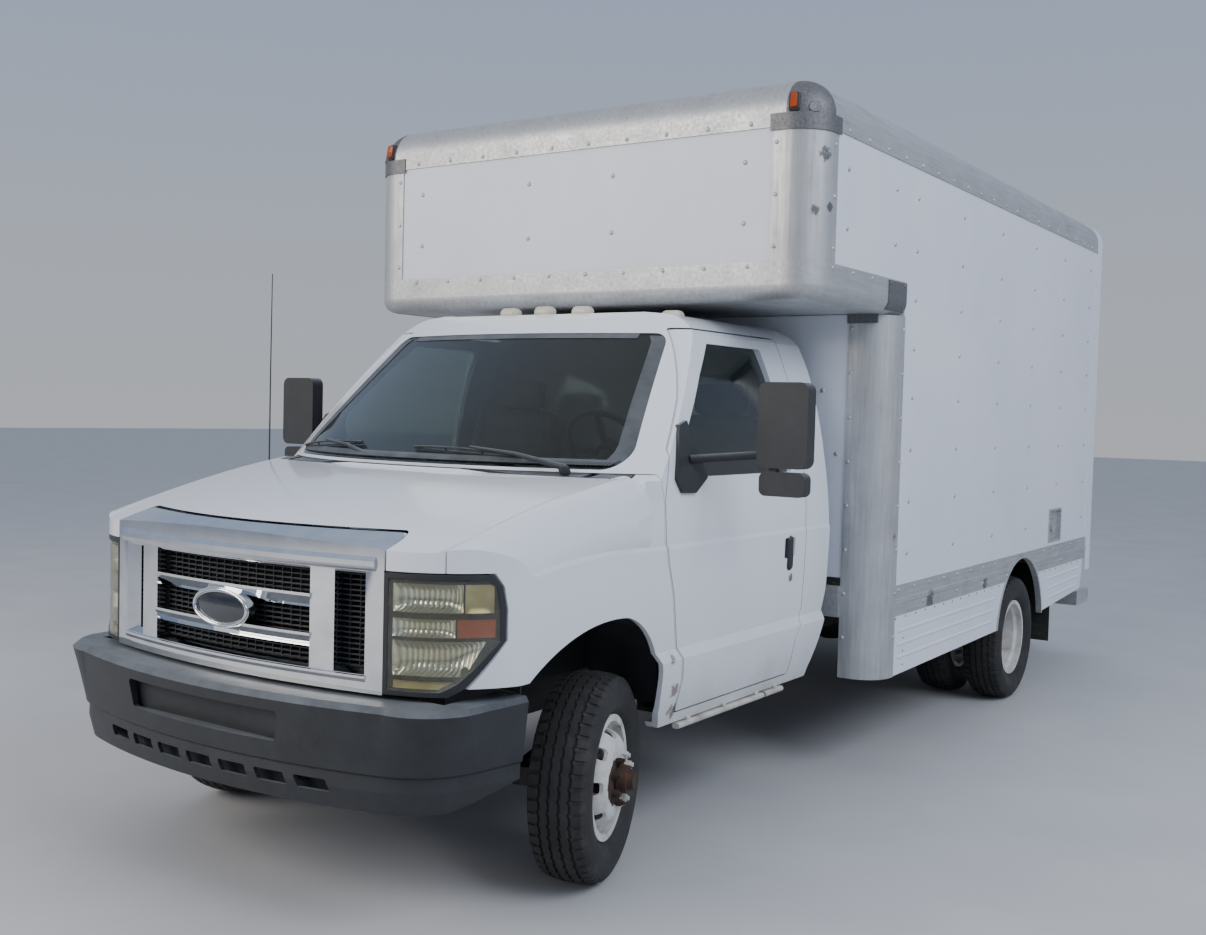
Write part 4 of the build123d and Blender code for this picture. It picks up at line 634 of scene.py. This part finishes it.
sides = ((1, "left"), (-1, "right"))
amber = lens_acrylic("amber_acrylic", 220.0, [(0.0, "#d9620f"), (0.6, "#b8480a")],
                     {"Roughness": 0.12, "Transmission Weight": 0.25})
for side, word in sides:
    origin = at(1101 * side, 600, 2905)
    spot, outward = struck("corner_castings", origin, to_rear) or struck("top_rails", origin, to_rear)
    outward = outward.normalized()
    up = upright(outward)
    bezel = slab(spot - outward * 0.004, outward, up, 0.044, 0.082, 0.014, 0.012)
    add_piece("marker_bezel_" + word, bezel, black_moulding)
    lens_shape = slab(spot + outward * 0.006, outward, up, 0.028, 0.062, 0.018, 0.008)
    add_piece("marker_lens_" + word, lens_shape, amber)


# Headlamp insides: a vacuum-plated reflector for each beam, an amber turn signal between them
# at the outer end, and a plain strip along the foot. They sit in the black housing's pocket,
# behind the clear cover.
def skin(grid, low, high):
    """A closed thin sheet over a grid of (place, outward) points, from low to high above them."""
    rows, columns = len(grid), len(grid[0])
    points = [place + outward * lift for lift in (low, high) for line in grid for place, outward in line]
    half = rows * columns
    faces = []
    for r in range(rows - 1):
        for c in range(columns - 1):
            a = r * columns + c
            faces.append((a, a + 1, a + columns + 1, a + columns))
            faces.append((half + a, half + a + columns, half + a + columns + 1, half + a + 1))
    rim = list(range(columns)) + [r * columns + columns - 1 for r in range(1, rows)]
    rim += [(rows - 1) * columns + c for c in range(columns - 2, -1, -1)]
    rim += [r * columns for r in range(rows - 2, 0, -1)]
    for k in range(len(rim)):
        a, b = rim[k], rim[(k + 1) % len(rim)]
        faces.append((a, b, half + b, half + a))
    return points, faces


reflector, tree, shader, place = new_finish("vacuum_plated_reflector")
flutes = add(tree, "TexWave", "Fac", {"Vector": place, "Scale": 22.0, "Distortion": 1.2}, bands_direction="X")
base = add(tree, "ValToRGB", "Color", {"Fac": flutes}, [(0.0, "#b9bcb6"), (1.0, "#eef0ea")])
# Flutes about 14 mm wide spread the beam; they break reflections into upright streaks.
streaks = add(tree, "Bump", "Normal", {"Height": flutes, "Strength": 0.6, "Distance": 0.003})
fill(shader, {"Base Color": base, "Normal": streaks, "Metallic": 1.0, "Roughness": 0.16})
aged, tree, shader, place = new_finish("yellowed_reflector")
tan = add(tree, "TexNoise", "Fac", {"Vector": place, "Scale": 20.0, "Detail": 4.0})
base = add(tree, "ValToRGB", "Color", {"Fac": tan}, [(0.3, "#d6cc9f"), (0.7, "#b9ad7e")])
fill(shader, {"Base Color": base, "Metallic": 0.8, "Roughness": 0.3})
lamp_cells = (
    # name, inner end, outer end at top, outer end at foot, top, foot, depth, finish, slot
    ("high_beam_bowl", 192, 410, 410, 1106, 1018, 40, reflector, "chrome"),
    ("side_reflector", 416, 500, 500, 1106, 1018, 10, aged, "chrome"),
    ("position_lamp", 192, 388, 388, 998, 942, 22, reflector, "chrome"),
    ("turn_signal", 394, 505, 505, 998, 942, 3, amber, "lamp_amber"),
    ("low_beam_bowl", 192, 480, 418, 930, 822, 40, reflector, "chrome"),
    ("foot_strip", 196, 428, 412, 806, 782, 4, aged, "chrome"),
)
# The cover runs back at 30 degrees; these are the cosine and the sine of that.
slant_across, slant_back = 0.866, 0.5
behind_cover = 11
for name, inner, outer_top, outer_foot, top, foot, deep, finish, slot_name in lamp_cells:
    for side, word in sides:
        toward = Vector((-slant_back * side, slant_across, 0))
        grid = []
        for row in range(9):
            v = row / 8
            z = top + (foot - top) * v
            line, last = [], None
            for column in range(15):
                u = column / 14
                reach = inner + (outer_top + (outer_foot - outer_top) * v - inner) * u
                aim = Vector((reach * slant_across * side, reach * slant_back, 0)) - toward * 1700
                found = struck("headlamp_lenses", at(aim.x, aim.y, z), toward)
                if found:
                    near = found[0]
                elif last:
                    near = last + Vector((0.006 * side, 0.006, 0))
                else:
                    near = at(reach * slant_across * side, -820, z)
                last = near
                bowl = deep * (1 - abs(2 * u - 1) ** 4) * (1 - abs(2 * v - 1) ** 4)
                line.append((near + toward * ((behind_cover + bowl) / 1000), -toward))
            grid.append(line)
        add_piece(name + "_" + word, skin(grid, -0.0015, 0.0015), finish, crease=60.0)


# Grille mesh: a black moulded lattice of thin slats and uprights behind the chrome bars, with
# the dark radiator core a hand's breadth behind it.
def bar(corner_low, corner_high):
    """Points and faces of a straight bar with small bevels between two corners, in mm."""
    x0, y0, z0 = corner_low
    x1, y1, z1 = corner_high
    b = min(x1 - x0, y1 - y0, z1 - z0) * 0.3
    outline = [(x0 + b, z0), (x1 - b, z0), (x1, z0 + b), (x1, z1 - b),
               (x1 - b, z1), (x0 + b, z1), (x0, z1 - b), (x0, z0 + b)]
    points = [at(x, y, z) for y in (y0, y1) for x, z in outline]
    faces = [(k, (k + 1) % 8, 8 + (k + 1) % 8, 8 + k) for k in range(8)]
    return points, faces + [tuple(range(8))[::-1], tuple(range(8, 16))]


def nose_y(x):
    """The nose's front, an arc of 3297.5 mm radius, at a place across it."""
    return 2402.5 - math.sqrt(3297.5 ** 2 - x * x)


lattice = []
for z in range(776, 1150, 17):
    grid = [[(at(x, nose_y(x) + 46 + deep, z), to_sky) for x in range(-594, 595, 54)] for deep in (0, 16)]
    lattice.append(skin(grid, -0.0016, 0.0016))
for x in range(-580, 581, 40):
    lattice.append(bar((x - 1.6, nose_y(x) + 50, 772), (x + 1.6, nose_y(x) + 60, 1146)))
add_piece("grille_mesh", joined(lattice), black_moulding)
core, tree, shader, place = new_finish("radiator_core")
fins = add(tree, "TexWave", "Fac", {"Vector": place, "Scale": 40.0}, bands_direction="Z")
base = add(tree, "ValToRGB", "Color", {"Fac": fins}, [(0.0, "#0b0b0c"), (1.0, "#242526")])
fill(shader, {"Base Color": base, "Roughness": 0.7, "Metallic": 0.4})
add_piece("radiator_core", bar((-560, -770, 700), (560, -742, 1150)), core)

# Badge: a chrome ring round a blank dark enamel oval, set over the bars in the middle of the
# grille.
badge_dark, tree, shader, place = new_finish("dark_badge_enamel")
depth = add(tree, "TexNoise", "Fac", {"Vector": place, "Scale": 30.0, "Detail": 3.0})
base = add(tree, "ValToRGB", "Color", {"Fac": depth}, [(0.3, "#1d232b"), (0.7, "#2b323b")])
fill(shader, {"Base Color": base, "Roughness": 0.18, "Coat Weight": 0.8})
badge_z = 966
turns, tube = 64, 12
points, faces = [], []
for k in range(turns):
    angle = 2 * math.pi * k / turns
    after = (k + 1) % turns
    for j in range(tube):
        swing = 2 * math.pi * j / tube
        reach = 6.5 * math.cos(swing)
        x = (132 + reach) * math.cos(angle)
        z = badge_z + (59 + reach) * math.sin(angle)
        points.append(at(x, nose_y(x) - 17 - 6.0 * math.sin(swing), z))
        next_j = (j + 1) % tube
        faces.append((k * tube + j, after * tube + j, after * tube + next_j, k * tube + next_j))
add_piece("badge_ring", (points, faces), chrome)
points = [at(0, nose_y(0) - 19, badge_z)]
for share in (0.35, 0.7, 1.0):
    for k in range(turns):
        angle = 2 * math.pi * k / turns
        x = 126 * share * math.cos(angle)
        points.append(at(x, nose_y(x) - 19 + 7 * share * share, badge_z + 53 * share * math.sin(angle)))
faces = [(0, 1 + k, 1 + (k + 1) % turns) for k in range(turns)]
for a in (1, 1 + turns):
    for k in range(turns):
        faces.append((a + k, a + turns + k, a + turns + (k + 1) % turns, a + (k + 1) % turns))
faces.append(tuple(range(1 + 2 * turns, 1 + 3 * turns)))
add_piece("badge_face", (points, faces), badge_dark)


# Windshield surround: the black ceramic band printed round the glass's edge, and the ribbed
# black cowl grille that laps its foot.
def glass_point(x, z):
    return struck("windshield", at(x, -700, z), to_rear)


def glass_edge(near, far, met):
    """The last value from near to far at which met finds the glass, by halving."""
    for _ in range(16):
        middle = (near + far) / 2
        if met(middle):
            near = middle
        else:
            far = middle
    return near


def edge_x(z, side):
    """How far across the windshield reaches at height z."""
    return glass_edge(0.0, 1000.0, lambda x: glass_point(x * side, z))


def edge_z(x):
    """How high the windshield reaches at x."""
    return glass_edge(1700.0, 2100.0, lambda z: glass_point(x, z))


heights = [z for z in span(1452, 24, 22) if glass_point(0, z) and edge_x(z, 1) > 300]
for side, word in sides:
    grid = []
    for z in heights:
        reach = edge_x(z, side)
        grid.append([glass_point((reach - inset) * side, z) for inset in (58, 40, 22, 3)])
    add_piece("windshield_band_" + word, skin(grid, 0.0006, 0.0022), black_moulding)
grid = [[glass_point(x, edge_z(x) - drop) for x in span(-600, 60, 21)] for drop in (24, 14, 3)]
add_piece("windshield_band_top", skin(grid, 0.0006, 0.0022), black_moulding)
grid = []
for row, z in enumerate((1446, 1452, 1459, 1466)):
    reach = edge_x(z, 1)
    line = []
    for k in range(281):
        place, outward = glass_point((-0.985 + 1.97 * k / 280) * reach, z)
        lift = 0.006 + (0.003 if k % 2 and row in (1, 2) else 0.0)
        line.append((place + outward * lift, outward))
    grid.append(line)
add_piece("cowl_grille", skin(grid, -0.005, 0.0), black_moulding)


# Wipers: black steel arms and rubber blades, parked along the foot of the glass, each turning
# on a capped pivot in the cowl.
def tube_points(path, radius, facets=8):
    """Points and faces of a round rod along a path of frame points, its ends closed."""
    points, faces = [], []
    for k, place in enumerate(path):
        before, after = path[max(k - 1, 0)], path[min(k + 1, len(path) - 1)]
        along = (after - before).normalized()
        side = along.cross(Vector((0.1, 0.2, 1.0))).normalized()
        other = along.cross(side)
        size = radius[k] if isinstance(radius, (list, tuple)) else radius
        for j in range(facets):
            angle = 2 * math.pi * j / facets
            points.append(place + (side * math.cos(angle) + other * math.sin(angle)) * size)
    for k in range(len(path) - 1):
        for j in range(facets):
            a, b = k * facets + j, k * facets + (j + 1) % facets
            faces.append((a, b, b + facets, a + facets))
    faces.append(tuple(range(facets))[::-1])
    faces.append(tuple(range(len(points) - facets, len(points))))
    return points, faces


for word, start, end, grip, pivot in (
    # the blade's two ends and the arm's grip on it as (x, z), the pivot as (x, y, z)
    ("passenger", (-806, 1458), (-294, 1489), (-545, 1476), (-215, -4, 1436)),
    ("driver", (20, 1482), (500, 1464), (290, 1476), (690, 66, 1430)),
):
    blade, bow = [], []
    for k in range(13):
        x, z = (first + (last - first) * (k / 12) for first, last in zip(start, end))
        blade.append(glass_point(x, z))
        bow.append(0.012 * math.sin(math.pi * k / 12))
    rubber_edge = tube_points([place + outward * 0.008 for place, outward in blade], 0.005, 6)
    spine_path = [place + outward * (0.016 + rise) for (place, outward), rise in zip(blade, bow)]
    spine = tube_points(spine_path, 0.0045, 6)
    claws = []
    for k in (1, 4, 8, 11):
        place, outward = blade[k]
        claws.append(tube_points([place + outward * 0.008, place + outward * (0.018 + bow[k])], 0.004, 6))
    place, outward = glass_point(*grip)
    hub = at(*pivot)
    middle = (hub + place) / 2 + Vector((0, -0.02, 0.03))
    arm_path = [hub + Vector((0, -0.012, 0.012)), middle, place + outward * 0.034]
    arm = tube_points(arm_path, [0.012, 0.008, 0.005])
    cap_path = [hub + Vector(step) for step in ((0, 0.006, -0.012), (0, -0.008, 0.008), (0, -0.014, 0.02))]
    cap = tube_points(cap_path, [0.02, 0.02, 0.012], 14)
    wiper = joined([rubber_edge, spine, arm, cap] + claws)
    add_piece("wiper_" + word, wiper, black_moulding)

# Radio aerial: a thin black steel whip on a rubber foot at the passenger's side of the cowl.
whip = [at(-905, 70, 1368), at(-905, 72, 1388), at(-906, 74, 1392), at(-912, 80, 1800), at(-918, 88, 2205)]
whip_radii = [0.016, 0.012, 0.0035, 0.0028, 0.002]
add_piece("aerial", tube_points(whip, whip_radii), black_moulding)

# Door handles, locks and mirror glasses: a black pull handle set upright near the door's rear
# edge, the key lock under it, and two glasses let into the mirror housing's back.
bare_steel, tree, shader, place = new_finish("plated_lock_steel")
wear = add(tree, "TexNoise", "Fac", {"Vector": place, "Scale": 80.0, "Detail": 5.0})
base = add(tree, "ValToRGB", "Color", {"Fac": wear}, [(0.3, "#8d8f91"), (0.7, "#b4b6b8")])
fill(shader, {"Base Color": base, "Metallic": 1.0, "Roughness": 0.35})
for side, word in sides:
    body = "door_" + word
    out = Vector((side, 0, 0))
    handle = slab(at(994 * side, 1287, 1062), out, to_sky, 0.046, 0.15, 0.018, 0.02)
    add_piece("door_handle_" + word, handle, black_moulding, body)
    found = struck("door_" + word, at(1300 * side, 1306, 955), -out)
    if found:
        lock = slab(found[0] - out * 0.002, out, to_sky, 0.03, 0.036, 0.006, 0.0149)
        add_piece("door_lock_" + word, lock, bare_steel, body)
    for label, (x, y, z), wide, tall in (
        ("main", (1297, 650.5, 1612), 0.17, 0.282),
        ("lower", (1298, 645.5, 1393), 0.15, 0.064),
    ):
        pane = slab(at(x * side, y, z) - to_rear * 0.002, to_rear, to_sky, wide, tall, 0.004, 0.025)
        add_piece("mirror_glass_" + label + "_" + word, pane, chrome, body)

# Rear lamps' red lenses and the roll-up door's latch: a plated hasp with its lever at the middle
# of the door's foot. The lines that find panels from the rear start well behind the truck.
red = lens_acrylic("red_acrylic", 200.0, [(0.0, "#a01712"), (0.6, "#7d100d")], {"Roughness": 0.15})
dress(("rear_lamps",), red)
behind_y = 6500
found = struck("roll_up_door", at(0, behind_y, 930), to_front)
if found:
    base = found[0]
    plate = slab(base - to_rear * 0.002, to_rear, to_sky, 0.16, 0.09, 0.006, 0.01)
    lever = slab(base + Vector((0.02, 0.004, 0)), to_rear, to_sky, 0.11, 0.03, 0.02, 0.01)
    bolt_spots = [(base + Vector((x, 0.003, z)), to_rear) for x in (-0.066, 0.066) for z in (-0.03, 0.03)]
    latch = joined([plate, lever, rivet_heads(bolt_spots, 0.007, 0.004)])
    add_piece("door_latch", latch, bare_steel)

# Castings on the side rails' rear ends and plates on the column tops: dark sand-cast aluminium
# lapped over the joint between attic rail and column, with two rivets in each.
for side, word in sides:
    grid = [[side_struck("attic_rails", side, along, z) for z in (2266, 2235, 2205, 2182, 2165, 2150, 2136)]
            for along in (1752, 1800, 1850, 1900, 1950, 1964)]
    add_piece("rail_end_casting_" + word, skin(grid, -0.001, 0.0045), casting)
    plate = slab(at(1088 * side, 1786, 2112), to_front, to_sky, 0.15, 0.07, 0.006, 0.004)
    heads = [(at(x * side, 1780.5, 2128), to_front) for x in (1036, 1134)]
    heads += [(at(1223.5 * side, along, 2253), Vector((side, 0, 0))) for along in (1773, 1940)]
    top_plate = joined([plate, rivet_heads(heads, *rail_rivet)])
    add_piece("column_top_plate_" + word, top_plate, casting)

# Sill trims: narrow pale moulded strips on short brackets, hung under the cab's sills.
sill_trim, tree, shader, place = new_finish("chalky_sill_plastic")
chalk = add(tree, "TexNoise", "Fac", {"Vector": place, "Scale": 14.0, "Detail": 8.0})
base = add(tree, "ValToRGB", "Color", {"Fac": chalk}, [
    (0.3, "#9d998f"), (0.55, "#c4c1b8"), (0.75, "#d2d0c8")])
fill(shader, {"Base Color": base, "Roughness": 0.6})
sill_bars = (
    # inner x, outer x, y from, y to, z from, z to: the two strips and four brackets
    (940, 972, 452, 1150, 452, 474), (940, 972, 1168, 1330, 452, 474),
    *((945, 966, y, y + 26, 470, 490) for y in (520, 800, 1080, 1250)),
)
for side, word in sides:
    parts = []
    for inner, outer, y0, y1, z0, z1 in sill_bars:
        x0, x1 = sorted((inner * side, outer * side))
        parts.append(bar((x0, y0, z0), (x1, y1, z1)))
    add_piece("sill_trim_" + word, joined(parts), sill_trim)

# Seats: a driver's seat and a passenger's seat, foam under ribbed grey vinyl. The covers are
# pulled in along stitched seams, so the foam crowns up between them. Each stands on a
# moulded plinth.
vinyl, tree, shader, place = new_finish("ribbed_grey_vinyl")
wear = add(tree, "TexNoise", "Fac", {"Vector": place, "Scale": 9.0, "Detail": 7.0})
base = add(tree, "ValToRGB", "Color", {"Fac": wear}, [(0.3, "#54565c"), (0.7, "#6d6f75")])
# Hide grain is under 1 mm; it is drawn at 3 mm.
hide = add(tree, "TexVoronoi", "Distance", {"Vector": place, "Scale": 300.0})
leather = add(tree, "Bump", "Normal", {"Height": hide, "Strength": 0.3, "Distance": 0.0006})
fill(shader, {"Base Color": base, "Normal": leather, "Roughness": 0.5})


def cushion(centre, half, lean, flutes, face_axis):
    """A crowned pad about centre, leaning back by lean degrees, with stitched flutes across."""
    roundness = 6.0
    length_axis = 1 if face_axis == 2 else 2
    tilt = Matrix.Rotation(math.radians(lean), 3, "X")
    shell = bmesh.new()
    bmesh.ops.create_cube(shell, size=2.0)
    bmesh.ops.subdivide_edges(shell, edges=shell.edges[:], cuts=22, use_grid_fill=True)
    for vert in shell.verts:
        p = vert.co
        q = p / (abs(p.x) ** roundness + abs(p.y) ** roundness + abs(p.z) ** roundness) ** (1 / roundness)
        seam = 0.0
        if abs(q[face_axis]) > 0.8:
            for flute in flutes:
                seam = max(seam, math.exp(-((q[length_axis] - flute) / 0.045) ** 2))
            seam = max(seam, math.exp(-((abs(q.x) - 0.72) / 0.04) ** 2))
        size = Vector((q.x * half[0], q.y * half[1], q.z * half[2]))
        crown = 0.9 + 0.1 * (1 - q.x * q.x) * (1 - q[length_axis] ** 2)
        size[face_axis] *= crown * (1 - 0.1 * seam)
        vert.co = centre + tilt @ size
    shell.verts.index_update()
    points = [vert.co.copy() for vert in shell.verts]
    faces = [tuple(vert.index for vert in face.verts) for face in shell.faces]
    shell.free()
    return points, faces


for side, word in ((1, "driver"), (-1, "passenger")):
    x = 570 * side
    plinth = bar((x - 205, 905, 674), (x + 205, 1375, 884))
    add_piece("seat_plinth_" + word, plinth, trim)
    for label, centre, half, lean, flutes, face_axis in (
        ("seat_cushion_", at(x, 1118, 960), (0.248, 0.272, 0.078), 2.0, (-0.5, 0.0, 0.5), 2),
        ("seat_back_", at(x, 1366, 1300), (0.236, 0.068, 0.345), -8.0, (-0.5, -0.1, 0.3, 0.62), 1),
        ("seat_rest_", at(x, 1418, 1715), (0.126, 0.038, 0.072), -4.0, (), 1),
    ):
        pad = cushion(centre, half, lean, flutes, face_axis)
        made = add_piece(label + word, pad, vinyl, crease=70.0)
        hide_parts("seats")

# Attic corner bosses: a round cast boss on the outer face of each corner casting, beside its
# marker lamp.
for side, word in sides:
    outward = Vector((0.66 * side, -0.735, 0.15)).normalized()
    boss_place = at(1175 * side, 1034, 2884) - outward * 0.003
    boss = slab(boss_place, outward, upright(outward), 0.046, 0.046, 0.007, 0.018)
    add_piece("casting_boss_" + word, boss, casting)

# Bumper air deflector: a thin black moulded sheet that closes the bumper's lower slots from
# behind. It follows the bumper's arc, of 2681 mm radius, 66 mm behind its front.
deflector_radius = 2681
grid = []
for z in (416, 445, 475, 505, 528):
    line = []
    for x in range(-700, 701, 50):
        bumper_y = -1003 + deflector_radius - math.sqrt(deflector_radius ** 2 - x * x)
        line.append((at(x, bumper_y + 66, z), to_front))
    grid.append(line)
add_piece("bumper_air_deflector", skin(grid, -0.002, 0.002), black_moulding)

# Cab-to-box guard brackets: two short steel plates with a bolt each, on the box's front wall
# behind the cab's rear corner, as high as the door's lower crease.
for side, word in sides:
    parts = []
    for z in (800, 880):
        found = struck("box_front_walls", at(985 * side, 1700, z), to_rear)
        if found:
            parts.append(slab(found[0] + to_rear * 0.001, to_front, to_sky, 0.07, 0.056, 0.006, 0.006))
            parts.append(rivet_heads([(found[0] - to_rear * 0.005, to_front)], 0.009, 0.006))
    if parts:
        add_piece("guard_brackets_" + word, joined(parts), chassis_black)

# Rear end: bolts down the rear frame's posts, two grab handles beside the door, and the black
# rubber dock bumpers on the rear step.
parts = []
for side in (1, -1):
    for z in (900, 1250, 1600, 1950, 2300, 2650):
        found = struck("rear_frame", at(1165 * side, behind_y, z), to_front)
        if found:
            parts.append(rivet_heads([(found[0], to_rear)], 0.009, 0.005))
    found = struck("rear_frame", at(1130 * side, behind_y, 1300), to_front)
    if found:
        # how far out and how far up from the handle's foot
        bends = ((0.0, 0.0), (0.035, 0.0), (0.05, 0.015), (0.05, 0.285), (0.035, 0.3), (0.0, 0.3))
        grip = [found[0] + to_rear * out + to_sky * rise for out, rise in bends]
        parts.append(tube_points(grip, 0.011, 10))
add_piece("rear_grab_handles", joined(parts), bare_steel)
parts = []
for side in (1, -1):
    found = struck("rear_bumper", at(1080 * side, behind_y, 430), to_front)
    if found:
        parts.append(slab(found[0] - to_rear * 0.014, to_rear, to_sky, 0.16, 0.07, 0.014, 0.012))
add_piece("dock_pads", joined(parts), rubber)
